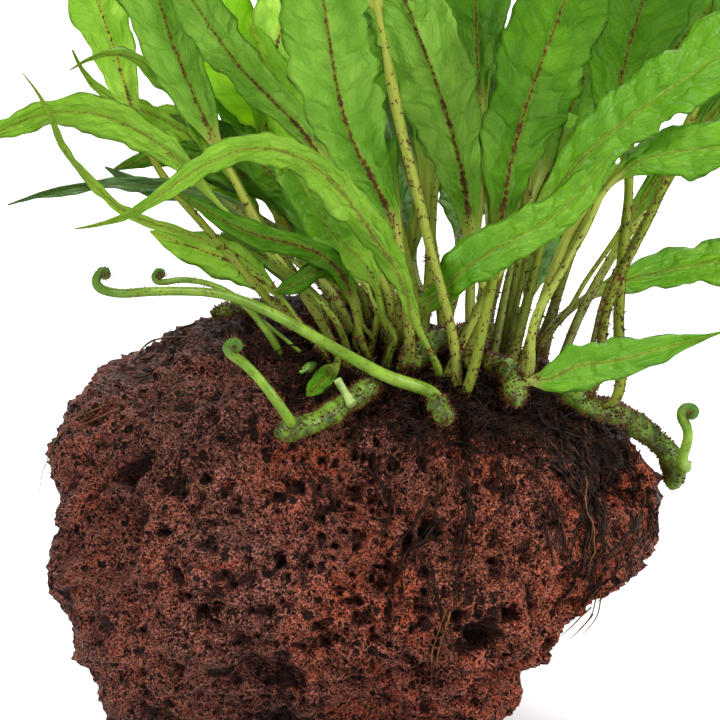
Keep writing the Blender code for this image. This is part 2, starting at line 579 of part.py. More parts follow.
def sampled(path, row):
    """The frond's samples along its midrib and, from each, the offsets across the blade."""
    at, weights = sampling()
    line = from_front(weights @ path)
    across, _ = frond_frames(line, row[4])
    half = half_widths(*row[1:4], at)
    return line, across[:, None] * np.linspace(-1, 1, SAMPLES_ACROSS)[None, :, None] * half[:, None, None]


def close_samples(places, reach):
    """All pairs of samples of different fronds that are within reach: both owners, both numbers, distance."""
    found = []
    for a, b in itertools.combinations(range(len(places)), 2):
        distance = np.linalg.norm(places[a][:, None] - places[b][None], axis=-1)
        first, second = np.nonzero(distance < reach)
        owners = np.full(len(first), a), np.full(len(first), b)
        found.append(np.array([*owners, first, second, distance[first, second]]))
    found = np.concatenate(found, axis=1)
    return *found[:4].astype(int), found[4]


def shared_out(push, pairs, shape, short):
    """The mean push on each sample of a midrib from its pairs; the second of a pair is pushed forwards."""
    total = np.zeros(shape)
    count = np.full(shape[:2], 1e-9)
    a, b, first, second = pairs
    for owner, number, way in ((a, first, -1), (b, second, 1)):
        spot = (owner, number // SAMPLES_ACROSS)
        np.add.at(total, spot, way * push)
        np.add.at(count, spot, short > 0)
    return total / count.reshape(count.shape + (1,) * (total.ndim - 2))


def settle(paths, rows):
    """Slide the fronds towards or away from the eye until those that cross in the view are clear.

    Two samples of different fronds that are close in the view are pushed apart in depth. The frond that is
    nearer at first stays nearer, feet counting most, and the pushes are evened out along each frond. Feet
    stay where they are, and nothing sinks into the rock.
    """
    _, weights = sampling()
    seen = []
    for path, row in zip(paths, rows):
        line, offsets = sampled(path, row)
        seen.append(to_front(line[:, None] + offsets).reshape(-1, 3))
    seen = np.array(seen)
    *pairs, distance = close_samples(seen[..., :2], LEAST_DISTANCE)
    a, b, first, second = pairs
    need = np.sqrt(LEAST_DISTANCE**2 - distance**2)
    depths = np.array(paths)[..., 2]
    offsets = seen[..., 2] - np.repeat(depths @ weights.T, SAMPLES_ACROSS, axis=1)
    order = np.zeros((len(paths), len(paths)))
    low = np.minimum(first, second) < LOW_NODES * SAMPLES_PER_NODE * SAMPLES_ACROSS
    gap = seen[b, second, 2] - seen[a, first, 2]
    np.add.at(order, (a, b), np.where(low, 12.0, 1.0) * np.clip(gap, -6, 6))
    signs = np.where(order[a, b] >= 0, 1, -1)
    limits = np.array([rock_away(path[:, 0], path[:, 1]) for path in paths]) - DEPTH_OVER_ROCK
    limits[:, :2] = np.inf
    firm = np.ones(FROND_NODES)
    firm[:2] = 0, 0.4
    for _ in range(SETTLING_ROUNDS):
        level = np.repeat(depths @ weights.T, SAMPLES_ACROSS, axis=1) + offsets
        short = np.maximum(need - (level[b, second] - level[a, first]) * signs, 0)
        push = shared_out(short * signs, pairs, (len(paths), len(weights)), short)
        depths = depths + 0.5 * firm * (push @ weights) / weights.sum(axis=0)
        bend = depths[:, 2:] - 2 * depths[:, 1:-1] + depths[:, :-2]
        depths[:, 1:-1] += EVENING * bend * firm[1:-1]
        depths = np.minimum(depths, limits)
    return [np.column_stack([path[:, :2], depth]) for path, depth in zip(paths, depths)]


def parted(paths, rows, ground):
    """Nudge fronds that are still too near each other or the ground straight apart, all but their feet.

    The nudges are evened out along each frond but in the last rounds, so that they leave few kinks.
    """
    _, weights = sampling()
    nodes = np.array([from_front(path) for path in paths])
    start = nodes.copy()
    offsets = np.array([sampled(path, row)[1] for path, row in zip(paths, rows)])
    points = ((weights @ nodes)[:, :, None] + offsets).reshape(len(paths), -1, 3)
    *pairs, _ = close_samples(points, 2 * LEAST_DISTANCE)
    a, b, first, second = pairs
    firm = np.ones((FROND_NODES, 1))
    firm[0] = 0
    for number in range(PARTING_ROUNDS):
        points = ((weights @ nodes)[:, :, None] + offsets).reshape(len(paths), -1, 3)
        between = points[b, second] - points[a, first]
        distance = np.linalg.norm(between, axis=-1)
        short = np.maximum(LEAST_DISTANCE - distance, 0)
        shape = (len(paths), len(weights), 3)
        push = shared_out(between / distance[:, None] * short[:, None], pairs, shape, short)
        push = 0.6 * push + 1.8 * raised(points, ground)
        nudged = nodes - start + firm * np.einsum("fsd,sn->fnd", push, weights) / weights.sum(axis=0)[:, None]
        if number < PARTING_ROUNDS - LAST_ROUNDS:
            nudged[:, 1:-1] += EVENING * (nudged[:, 2:] - 2 * nudged[:, 1:-1] + nudged[:, :-2])
        nodes = start + nudged
    return nodes


def raised(points, ground):
    """For each midrib sample, how far the samples across it must rise to be clear of the ground."""
    rise = np.zeros((len(points), points.shape[1] // SAMPLES_ACROSS, 3))
    out = unit(points - ROCK_CENTRE)
    lowest = np.argwhere(np.linalg.norm(points - ROCK_CENTRE, axis=-1) < FARTHEST_OUT)
    for frond, number in lowest:
        point = Vector(points[frond, number])
        near, normal, _, distance = ground.find_nearest(point)
        outside = (point - near).dot(normal) > 0
        height = distance if outside else -distance
        if height < LEAST_HEIGHT:
            spot = frond, number // SAMPLES_ACROSS
            way = np.array(point - near) / distance if outside else out[frond, number]
            wanted = way * (LEAST_HEIGHT - height)
            if wanted @ wanted > rise[spot] @ rise[spot]:
                rise[spot] = wanted
    return rise


def frond(row, path):
    """A frond as one piece: a six-sided stalk that flattens into a thin blade with slightly raised edges."""
    name, width, stalk, widest, roll, side = row[:6]
    across, face = frond_frames(path, roll)
    at = np.linspace(0, 1, len(path))
    half = half_widths(width, stalk, widest, at)
    round_stalk = stalk_radius(width) * math.sin(math.radians(60))
    flat = np.clip(at / stalk / 1.5, 0, 1)
    thick = np.minimum(half * 0.87, round_stalk + (BLADE_THICKNESS / 2 - round_stalk) * flat)
    upper = face if side == "top" else -face
    fold = BLADE_FOLD * np.clip(half / stalk_radius(width) - 1, 0, 1)
    rings = []
    for i, point in enumerate(path):
        ring = []
        for x, z in ((-1, 0), (-0.5, 1), (0.5, 1), (1, 0), (0.5, -1), (-0.5, -1)):
            raised = z * thick[i] + abs(x) * half[i] * fold[i]
            ring.append(point + across[i] * x * half[i] + upper[i] * raised)
        rings.append(np.array(ring))
    if np.dot(np.cross(across[0], upper[0]), path[1] - path[0]) > 0:
        rings = [ring[::-1] for ring in rings]
    return solid(name, rings, side)


def main():
    for old in list(bpy.data.objects):
        bpy.data.objects.remove(old, do_unlink=True)
    rock = lava_rock()
    ground = [rock]
    for row in RHIZOMES:
        ground.append(rhizome(rock, *row, ground[1:]))
    for row in ROOT_BUNDLES:
        root_bundle(rock, *row, ground[1:])
    paths = [frond_path(row, foot) for row, foot in zip(FRONDS, feet(tree_of(ground)))]
    ground += [fiddlehead(ground, *row) for row in FIDDLEHEADS]
    for row, path in zip(FRONDS, parted(settle(paths, FRONDS), FRONDS, tree_of(ground))):
        frond(row, path)


main()
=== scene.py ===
"""The looks of a java fern on its lava rock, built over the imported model.

Lengths are in millimetres until mesh_piece() turns them into metres. Every shape is worked out as whole
arrays: a surface is a grid of points over two parameters, or a ring carried along a path.
"""

import itertools
import math

import bpy
import numpy as np
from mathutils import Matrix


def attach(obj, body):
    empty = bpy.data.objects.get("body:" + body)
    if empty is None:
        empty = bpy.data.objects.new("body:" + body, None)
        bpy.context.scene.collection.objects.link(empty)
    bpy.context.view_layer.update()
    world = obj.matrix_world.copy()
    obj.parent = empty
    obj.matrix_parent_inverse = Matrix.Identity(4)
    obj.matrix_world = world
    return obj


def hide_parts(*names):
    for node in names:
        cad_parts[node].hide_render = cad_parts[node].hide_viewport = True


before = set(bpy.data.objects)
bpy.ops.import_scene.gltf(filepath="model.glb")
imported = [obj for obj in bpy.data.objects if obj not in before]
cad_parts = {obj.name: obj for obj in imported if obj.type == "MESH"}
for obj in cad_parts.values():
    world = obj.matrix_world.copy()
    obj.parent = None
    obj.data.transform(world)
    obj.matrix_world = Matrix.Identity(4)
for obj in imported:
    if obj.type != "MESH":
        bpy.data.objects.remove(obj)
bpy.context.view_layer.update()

MM = 0.001

# How the front is seen: places are across, up and away from the eye
VIEW_CENTRE = np.array([9.0, 0.0, 77.0])
VIEW_TILT = math.radians(15.0)
VIEW_DISTANCE = 800.0
SIGHT = np.array([0.0, math.cos(VIEW_TILT), -math.sin(VIEW_TILT)])
VIEW_UP = np.array([0.0, math.sin(VIEW_TILT), math.cos(VIEW_TILT)])

# The rock's large form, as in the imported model
ROCK_CENTRE = np.array([8.0, 0.0, 42.0])
ROCK_HALF_DEPTH = 47.0
ROCK_BOXINESS = 2.9
ROCK_OUTLINE = [
    (4, 90), (20, 86), (32, 79), (46, 73), (57, 67), (66, 60), (73, 53), (74, 46), (71, 38), (53, 33),
    (46, 31), (35, 28), (38, 21), (42, 12), (37, 0), (25, -8), (-23, -5), (-26, 8), (-44, 8), (-46, 17),
    (-50, 23), (-43, 31), (-37, 42), (-50, 51), (-54, 58), (-52, 67), (-46, 73), (-33, 75), (-23, 82),
    (-10, 89),
]
NOISE_SPHERE = 50.0
LUMPS = [(44.0, 5.0, 3), (21.0, 4.0, 11), (11.0, 2.2, 23)]
PITS = [(22.0, 0.50, 0.40, 6.0, 5), (12.0, 0.45, 0.42, 3.4, 17)]
SIDE_RELIEF = 1.6
RIM_RELIEF = 0.35
OUTLINE_TURNS = range(-30, 31, 10)

# The rock's fine form: noise (size, height, seed) and pores (spacing, share, radius in spacings, depth, seed)
GRAIN = [(7.0, 1.2, 31), (3.4, 1.0, 37), (1.7, 0.85, 41), (1.0, 0.55, 59)]
PORES = [(6.0, 0.12, 0.34, 2.0, 43), (2.9, 0.35, 0.36, 1.3, 47), (1.5, 0.6, 0.42, 0.7, 53)]
RELIEF_SUNK = 0.8  # how far the crests stay below the large form's surface
ROCK_STEPS = 128
# Pulls the corners of the rock's faces towards the front, so that the faces there are smaller
FINER_IN_FRONT = np.array([0.0, -0.5, 0.1])
# Deep hollows seen in front: across, up, radius and depth
HOLLOWS = [
    (-47.6, -23, 3.2, 4.5), (-44.6, -19.5, 1.5, 2.2), (-40.6, -34.6, 1.7, 2.6), (-13.4, -25.6, 1.8, 2.4),
    (-17.2, -27.4, 2.0, 2.4), (-31.4, -23.8, 1.2, 1.8), (-5, -37.4, 1.0, 1.8), (-44.6, -63.4, 1.4, 2.2),
    (-53, -57, 1.2, 1.8), (-33, -50.4, 1.5, 2.2), (-7.2, -57.6, 1.2, 2.0), (-10.8, -69.4, 1.3, 2.0),
    (24.8, -56, 3.6, 4.5), (30.6, -51.6, 1.9, 3.0), (19.5, -52, 1.6, 2.5), (35.5, -50.5, 1.4, 2.2),
    (40.6, -43.6, 1.0, 1.8), (38.4, -57.6, 2.0, 2.5), (23.8, -69, 1.5, 2.2), (-1.8, -43.2, 1.0, 1.8),
]


def lattice_value(cell, seed):
    """A number from 0 to 1 for each whole-number cell, mixed from its three indices and the seed."""
    x, y, z = (cell[..., i].astype(np.int64).astype(np.uint32) for i in range(3))
    mixed = x * np.uint32(73856093) ^ y * np.uint32(19349663) ^ z * np.uint32(83492791)
    mixed = (mixed ^ np.uint32(seed * 9781 + 7)) * np.uint32(2654435761)
    mixed = (mixed ^ (mixed >> np.uint32(13))) * np.uint32(1274126177)
    return (mixed ^ (mixed >> np.uint32(16))).astype(float) / 2**32


def soft_noise(points, size, seed):
    """Smooth noise from -1 to 1, about size across: the values at a cell's eight corners, eased together."""
    at = points / size
    low = np.floor(at)
    part = at - low
    part = part * part * (3 - 2 * part)
    total = np.zeros(points.shape[:-1])
    for corner in itertools.product((0, 1), repeat=3):
        share = np.where(np.array(corner, bool), part, 1 - part).prod(axis=-1)
        total += share * lattice_value(low + corner, seed)
    return 2 * total - 1


def nearest_centre(points, spacing, seed):
    """Distance in spacings to the nearest of the centres strewn one to a cell, and that centre's number."""
    at = points / spacing
    low = np.floor(at)
    best = np.full(points.shape[:-1], 9.0)
    number = np.zeros(points.shape[:-1])
    for step in itertools.product((-1, 0, 1), repeat=3):
        cell = low + step
        centre = cell + np.stack([lattice_value(cell, seed + i) for i in range(3)], axis=-1)
        distance = np.linalg.norm(at - centre, axis=-1)
        closer = distance < best
        best = np.where(closer, distance, best)
        number = np.where(closer, lattice_value(cell, seed + 3), number)
    return best, number


def between(values, places):
    """The rows of values, read between the two that are nearest to each place."""
    low = np.clip(places.astype(int), 0, len(values) - 2)
    part = (places - low)[..., None]
    return values[low] * (1 - part) + values[low + 1] * part


def unit(vectors):
    """The vectors at length 1."""
    return vectors / np.maximum(np.linalg.norm(vectors, axis=-1, keepdims=True), 1e-12)


def eased(low, high, values):
    """0 below low, 1 above high, and a smooth rise between them: t squared times 3 - 2t."""
    part = np.clip((values - low) / (high - low), 0, 1)
    return part * part * (3 - 2 * part)


def from_front(places):
    """Places seen from the front, across, up and away, as x, y and z; far ones spread with distance."""
    across, up, away = np.moveaxis(np.asarray(places, float), -1, 0)
    spread = 1 + away / VIEW_DISTANCE
    sideways = np.stack([across * spread, 0 * across, 0 * across], axis=-1)
    return VIEW_CENTRE + sideways + (up * spread)[..., None] * VIEW_UP + away[..., None] * SIGHT


def to_front(points):
    """The places seen from the front, across, up and away, of points in x, y and z."""
    offset = points - VIEW_CENTRE
    away = offset @ SIGHT
    spread = 1 + away / VIEW_DISTANCE
    return np.stack([offset[..., 0] / spread, offset @ VIEW_UP / spread, away], axis=-1)


def smooth_columns(values, at, wanted):
    """Natural cubic curves through the rows of values, given at the places at, read at wanted places."""
    values = np.asarray(values, float)
    steps = np.diff(at)
    slopes = np.diff(values, axis=0) / steps[:, None]
    matrix = np.eye(len(values))
    right = np.zeros_like(values)
    for i in range(1, len(values) - 1):
        matrix[i, i - 1 : i + 2] = steps[i - 1], 2 * (steps[i - 1] + steps[i]), steps[i]
        right[i] = 6 * (slopes[i] - slopes[i - 1])
    bend = np.linalg.solve(matrix, right)
    span = np.clip(np.searchsorted(at, wanted, side="right") - 1, 0, len(steps) - 1)
    before = (wanted - at[span])[:, None]
    after = (at[span + 1] - wanted)[:, None]
    length = steps[span][:, None]
    curve = (bend[span] * after**3 + bend[span + 1] * before**3) / (6 * length)
    curve = curve + (values[span] / length - bend[span] * length / 6) * after
    return curve + (values[span + 1] / length - bend[span + 1] * length / 6) * before


def path_places(points):
    """How far along a path each of its points is."""
    return np.concatenate([[0.0], np.cumsum(np.linalg.norm(np.diff(points, axis=0), axis=1))])


def smooth_path(points, count):
    """Points at even steps along the natural cubic curve through the given ones."""
    at = path_places(points)
    return smooth_columns(points, at, np.linspace(0, at[-1], count))


def carried_frames(path, first):
    """Tangents of a path and two directions square to them, the first direction carried along without twist.

    The path may be one of many, stacked on the first axes; each step projects the last direction.
    """
    tangents = unit(np.gradient(path, axis=-2))
    side = np.empty_like(tangents)
    last = first
    for i in range(path.shape[-2]):
        tangent = tangents[..., i, :]
        last = unit(last - tangent * (last * tangent).sum(axis=-1, keepdims=True))
        side[..., i, :] = last
    return tangents, side, np.cross(tangents, side)


# Meshes


def mesh_piece(name, points, faces, material, uv=None, attributes=None, smooth=True):
    """A piece of the plant or rock from points in millimetres and faces, riding with the whole.

    uv maps names to a pair of numbers for each point; attributes maps names to one number for each point.
    """
    mesh = bpy.data.meshes.new(name)
    counts = np.concatenate([np.full(len(part), part.shape[1]) for part in faces])
    corners = np.concatenate([part.ravel() for part in faces]).astype(np.int32)
    mesh.vertices.add(len(points))
    mesh.vertices.foreach_set("co", (np.asarray(points) * MM).astype(np.float32).ravel())
    mesh.loops.add(len(corners))
    mesh.loops.foreach_set("vertex_index", corners)
    mesh.polygons.add(len(counts))
    mesh.polygons.foreach_set("loop_start", np.concatenate([[0], np.cumsum(counts)[:-1]]).astype(np.int32))
    mesh.polygons.foreach_set("use_smooth", np.full(len(counts), smooth))
    mesh.update(calc_edges=True)
    for layer, pairs in (uv or {}).items():
        own_map = mesh.uv_layers.new(name=layer)
        own_map.data.foreach_set("uv", pairs[corners].astype(np.float32).ravel())
    for layer, values in (attributes or {}).items():
        mesh.attributes.new(layer, "FLOAT", "POINT").data.foreach_set("value", values.astype(np.float32))
    mesh.materials.append(material)
    piece = bpy.data.objects.new(name, mesh)
    bpy.context.collection.objects.link(piece)
    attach(piece, "root")
    return piece


def tube_faces(count, rows, around):
    """Faces of tubes whose rows of points close around: four-cornered sides, and two end faces to a tube."""
    number = np.arange(count * rows * around).reshape(count, rows, around)
    beside = np.roll(number, -1, axis=2)
    corners = number[:, :-1], beside[:, :-1], beside[:, 1:], number[:, 1:]
    return [np.stack(corners, axis=-1).reshape(-1, 4), number[:, 0, ::-1], number[:, -1]]


def directions_round(side, other, count):
    """Directions from a path to points round it: cos a times one side and sin a times the other."""
    angles = np.linspace(0, 2 * math.pi, count, endpoint=False)[:, None]
    return np.cos(angles) * side[..., None, :] + np.sin(angles) * other[..., None, :]


def tubes(paths, radii, sides):
    """Points and faces of many tubes at once: circles carried along the paths.

    paths is tubes x steps x 3 and radii is tubes x steps. Point = path + radius times the direction round it.
    """
    tangents = unit(paths[:, 1] - paths[:, 0])
    first = unit(np.cross(tangents, tangents[:, [1, 2, 0]] + 0.1))
    _, side, other = carried_frames(paths, first)
    points = paths[:, :, None] + radii[:, :, None, None] * directions_round(side, other, sides)
    return points.reshape(-1, 3), tube_faces(*radii.shape, sides)


SLIVER_FACES = (0, 2, 1), (0, 1, 3), (1, 2, 3), (2, 0, 3)


def slivers(roots, along, across, lengths, widths):
    """Points and faces of many thin pointed scales or hairs, each a four-cornered closed sliver.

    A scale's corners are its root to the left and right, its tip, and a ridge point a third of the way up.
    """
    lift = np.cross(along, across)
    left = roots - across * widths[:, None] / 2
    right = roots + across * widths[:, None] / 2
    tip = roots + along * lengths[:, None]
    ridge = roots + along * lengths[:, None] / 3 + lift * widths[:, None] * 0.45
    points = np.stack([left, right, tip, ridge], axis=1).reshape(-1, 3)
    start = 4 * np.arange(len(roots))[:, None]
    return points, [np.concatenate([start + np.array(corners) for corners in SLIVER_FACES])]


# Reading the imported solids

FLATNESS = 0.004  # how far an end face's corners may stand off its plane
END_SIZE = 8.0  # no end face is wider


def rings_of(name, sides):
    """The rings of corners of a packed tube, from the end that is nearer the rock's centre.

    An end is a flat face with as many corners as a ring. From it, each ring is the set of corners that are
    joined to the ring before and not yet taken.
    """
    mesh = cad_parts[name].data
    corners = np.empty(3 * len(mesh.vertices), np.float32)
    mesh.vertices.foreach_get("co", corners)
    points, merged = np.unique(corners.reshape(-1, 3), axis=0, return_inverse=True)
    loops = np.empty(len(mesh.loops), np.int32)
    mesh.loops.foreach_get("vertex_index", loops)
    triangles = merged.ravel()[loops].reshape(-1, 3)
    joined = np.zeros((len(points), len(points)), bool)
    for i, j in itertools.permutations(range(3), 2):
        joined[triangles[:, i], triangles[:, j]] = True
    points = points.astype(float) / MM
    a, b, c = points[triangles].transpose(1, 0, 2)
    normals = unit(np.cross(b - a, c - a))
    found = []
    for corner, normal in zip(a, normals):
        offset = points - corner
        ring = (np.abs(offset @ normal) < FLATNESS) & (np.linalg.norm(offset, axis=1) < END_SIZE)
        if ring.sum() == sides:
            rings = [points[ring]]
            taken = ring.copy()
            while not taken.all():
                ring = joined[ring].any(axis=0) & ~taken
                if ring.sum() != sides:
                    break
                taken |= ring
                rings.append(points[ring])
            if taken.all():
                found.append(np.array(rings))
    return min(found, key=lambda rings: np.linalg.norm(rings[0].mean(axis=0) - ROCK_CENTRE))


def blade_form(name):
    """A packed frond's midrib, across and upper directions and half widths at each of its rings.

    The two corners of the widest ring that are farthest apart are the blade's edges, which rise towards the
    upper side; on the other rings the edges are the pair most nearly in line with those of the ring before.
    """
    rings = rings_of(name, 6)
    spans = rings[:, :, None] - rings[:, None]
    size = np.linalg.norm(spans, axis=-1)
    widest = size.reshape(len(rings), -1).max(axis=1).argmax()
    left, right = np.unravel_index(size[widest].argmax(), (6, 6))
    direction = unit(rings[widest, right] - rings[widest, left])
    middle, across = np.empty((2, len(rings), 3))
    half = np.empty(len(rings))
    lift = np.zeros(3)
    for order in (range(widest, len(rings)), range(widest, -1, -1)):
        last = direction
        for i in order:
            left, right = np.unravel_index((spans[i] @ last).argmin(), (6, 6))
            last = unit(rings[i, right] - rings[i, left])
            inner = np.delete(rings[i], [left, right], axis=0).mean(axis=0)
            edges = (rings[i, right] + rings[i, left]) / 2
            across[i] = last
            half[i] = np.linalg.norm(rings[i, right] - rings[i, left]) / 2
            middle[i] = 2 * inner - edges
            if i == widest:
                lift = edges - inner
    tangents = unit(np.gradient(middle, axis=0))
    upper = unit(np.cross(across, tangents))
    if upper[widest] @ lift < 0:
        upper = -upper
    return middle, across, upper, half


# The rock


def outline_radius(angle):
    """Distance from the rock's centre to its front outline at each angle."""
    corners = np.array(ROCK_OUTLINE, float) - ROCK_CENTRE[[0, 2]]
    ends = np.roll(corners, -1, axis=0)
    shares = np.linspace(0, 1, 8, endpoint=False)[:, None, None]
    along = (corners + shares * (ends - corners)).reshape(-1, 2)
    return np.interp(angle, np.arctan2(along[:, 1], along[:, 0]), np.hypot(*along.T), period=2 * math.pi)


def rock_radius(directions):
    """Distance from the rock's centre to its surface along each unit direction, without the fine form.

    The body is the front outline, carried to the front and the back as a boxy ellipse whose outline grows
    smoother with depth. Lumps are noise on a sphere, held back near the outline, and pits are round bowls;
    both are gentler on top.
    """
    x, y, z = np.moveaxis(directions, -1, 0)
    angle = np.arctan2(z, x)
    smooth = sum(outline_radius(angle + math.radians(turn)) for turn in OUTLINE_TURNS) / len(OUTLINE_TURNS)
    depth_share = np.clip(1.6 * np.abs(y), 0, 1)
    outline = outline_radius(angle) * (1 - depth_share) + smooth * depth_share
    flat = (np.hypot(x, z) / outline) ** ROCK_BOXINESS
    deep = (np.abs(y) / ROCK_HALF_DEPTH) ** ROCK_BOXINESS
    radius = (flat + deep) ** (-1 / ROCK_BOXINESS)
    points = directions * NOISE_SPHERE
    relief = 1 + (SIDE_RELIEF - 1) * np.clip(1.5 - 2.5 * z, 0, 1)
    lumpy = relief * (RIM_RELIEF + (1 - RIM_RELIEF) * depth_share)
    for size, height, seed in LUMPS:
        radius = radius + height * lumpy * soft_noise(points, size, seed)
    for spacing, share, reach, depth, seed in PITS:
        distance, number = nearest_centre(points, spacing, seed)
        bowl = np.clip(1 - (distance / reach) ** 2, 0, 1)
        radius = radius - np.where(number < share, relief * depth * bowl * (0.5 + number / share / 2), 0)
    return np.minimum(radius, ROCK_CENTRE[2] / np.maximum(-z, 1e-9))


def cube_directions(steps):
    """Unit directions through a grid on each of a cube's six sides, joined at its edges, and their faces."""
    places = np.tan(np.linspace(-math.pi / 4, math.pi / 4, steps + 1))
    a, b = np.meshgrid(places, places, indexing="ij")
    patches = []
    for axis, sign in itertools.product(range(3), (-1, 1)):
        patch = np.empty((steps + 1, steps + 1, 3))
        patch[..., axis] = sign
        patch[..., (axis + 1) % 3] = a * sign
        patch[..., (axis + 2) % 3] = b
        patches.append(patch)
    directions = np.array(patches).reshape(-1, 3)
    _, first, merged = np.unique(directions.round(6), axis=0, return_index=True, return_inverse=True)
    number = merged.reshape(6, steps + 1, steps + 1)
    corners = number[:, :-1, :-1], number[:, 1:, :-1], number[:, 1:, 1:], number[:, :-1, 1:]
    return unit(directions[first]), np.stack(corners, axis=-1).reshape(-1, 4)


def lava_rock(material):
    """The rock: its large form, then ridged noise, three sizes of pores and the deep hollows sunk into it.

    Radius = large form + height (0.55 - 1.9 |noise|) for each grain
    - depth (1 - (distance / reach)^2)^0.7 at each pore and hollow.
    """
    directions, faces = cube_directions(ROCK_STEPS)
    directions = unit(directions + FINER_IN_FRONT)
    radius = rock_radius(directions)
    points = directions * radius[:, None]
    relief = np.zeros(len(points))
    hollow = np.zeros(len(points))
    bottom = eased(0.4, 3.0, points[:, 2] + ROCK_CENTRE[2])
    for size, height, seed in GRAIN:
        relief += height * (0.55 - 1.9 * np.abs(soft_noise(points, size, seed)))
    for spacing, share, reach, depth, seed in PORES:
        warped = points + 0.3 * spacing * soft_noise(points, 0.8 * spacing, seed + 1)[:, None]
        distance, number = nearest_centre(warped, spacing, seed)
        bowl = np.where(number < share, np.clip(1 - (distance / reach) ** 2, 0, 1) ** 0.7, 0)
        relief -= depth * bowl
        hollow = np.maximum(hollow, bowl * (0.5 + 0.5 * number / share))
    across, up, away = to_front(ROCK_CENTRE + points).T
    ragged = 0.6 * soft_noise(points, 2.2, 71)
    for hole_across, hole_up, reach, depth in HOLLOWS:
        distance = np.hypot(across - hole_across, 1.3 * (up - hole_up)) / reach + ragged
        bowl = np.where(away < 0, np.clip(1 - distance**2, 0, 1) ** 0.7, 0)
        relief -= depth * bowl
        hollow = np.maximum(hollow, bowl)
    radius = radius + (relief - RELIEF_SUNK) * bottom
    surface = ROCK_CENTRE + directions * radius[:, None]
    surface[:, 2] = np.maximum(surface[:, 2], 0.0)
    crest = eased(-2.0, 1.0, relief)
    # hollow and crest later place painted shade in the hollows and low places, and a painted highlight on the
    # crests
    masks = {"hollow": hollow, "crest": crest}
    piece = mesh_piece("rock", surface, [faces], material, attributes=masks)
    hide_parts("lava_rock")
    return surface


# The fronds

VEIN_SPACING = 5.2
ROW_STEP = 0.75  # millimetres between a frond's rows of points
COLUMNS_TO_WIDTH = 1.4  # columns of points on each half of a blade, to a millimetre of it
LEAF_THICKNESS = 0.32
BLADE_STARTS, BLADE_FULL = 1.25, 2.9  # where a blade starts and is full: its width in stalk widths
FOLD = 0.10  # rise of a blade to each side of its midrib, to a millimetre
QUILT_HEIGHT = 0.62
RIB_TAPER = 0.74  # share of the midrib's thickness that is gone at the tip
SEED_STEP = 20  # between the seeds of two fronds, since each frond uses some of the next ones too
LEAF_UV = 100.0  # millimetres to one unit of the leaf's maps
# Noise that lobes a blade's edge: share of the half width, size, seed
LOBES = [(0.13, 4.4, 1), (0.10, 1.9, 3), (0.06, 11.0, 9)]
# Noise that waves a blade: height, more height to a millimetre of half width, size, seed, and the power of
# the place across that it grows with
WAVES = [(0.9, 0.09, 7.0, 5, 1.6), (0.35, 0.05, 3.4, 7, 2.5)]


def line_noise(places, size, seed):
    """Smooth noise from -1 to 1 along a line."""
    points = np.stack([places, 0 * places + 3.7 * seed, 0 * places], axis=-1)
    return soft_noise(points, size, seed)


def side_noise(u, sides, size, seed):
    """Smooth noise along u, one for each side of the blade, laid out as rows of u by columns of sides."""
    both = np.stack([line_noise(u, size, seed), line_noise(u, size, seed + 1)], axis=1)
    return both[:, (sides > 0).astype(int)]


def frond_rows(form, narrow, slim):
    """Places along a frond, their middle, across and upper directions, share of blade and half widths.

    The last half width is the stalk's alone. The share of blade rises from 0 on the stalk to 1, and stays 1
    beyond the widest place.
    """
    middle, across, upper, half = form
    at = path_places(middle)
    rows = int(np.clip(at[-1] / ROW_STEP, 40, 210))
    u = np.linspace(0, at[-1], rows)
    table = smooth_columns(np.column_stack([middle, across, upper, half]), at, u)
    width = np.maximum(table[:, 9], 0.12)
    stalk = 0.9 * half[0]
    blade = eased(BLADE_STARTS * stalk, BLADE_FULL * stalk, width)
    blade = np.where(np.arange(rows) > width.argmax(), 1.0, blade)
    width = width * (1 + (narrow - 1) * blade) * (1 + (slim - 1) * (1 - blade))
    return u, table[:, :3], unit(table[:, 3:6]), unit(table[:, 6:9]), blade[:, None], width, slim * stalk


def quilted(u, t, x, big, seed):
    """The count of side veins at each point, and the height of the domes between them, two rows to a side.

    Height = |sin(pi count)|^0.75 (0.45 + 0.55 |sin(pi (1.75 |t| + noise))|^0.6), lower at midrib and edge.
    """
    count = (u[:, None] - 0.42 * np.abs(x) - 0.022 * x**2) / VEIN_SPACING + 0.22 * np.tanh(x)
    count = count + 0.3 * line_noise(u, 9.0, seed + 11)[:, None] + 0.12 * side_noise(u, t, 4.0, seed + 12)
    dome = np.abs(np.sin(math.pi * count)) ** 0.75
    second = np.abs(np.sin(math.pi * (1.75 * np.abs(t) + 0.25 * side_noise(u, t, 6.0, seed + 14)))) ** 0.6
    inside = eased(0.0, 1.4, np.abs(x)) * (1 - 0.5 * eased(0.8, 1.0, np.abs(t)))
    return count, QUILT_HEIGHT * np.clip(big / 8, 0.3, 1) * dome * (0.45 + 0.55 * second) * inside


def leaf_thickness(t, x, rib, blade):
    """How far the upper and under side stand off the leaf's middle: a round rib, a thin leaf outside it."""
    bulge = np.sqrt(np.maximum(rib**2 - np.minimum(np.abs(x), rib) ** 2, 0))
    leaf = LEAF_THICKNESS / 2 * blade * np.sqrt(np.clip(1 - np.abs(t) ** 12, 0, 1))
    return np.maximum(bulge * (1 - 0.8 * blade), leaf), np.maximum(bulge * (1 - 0.25 * blade), leaf)


def looped(top, bottom):
    """The columns of the top side from left to right, then those of the under side back again."""
    return np.concatenate([top, bottom[:, -2:0:-1]], axis=1)


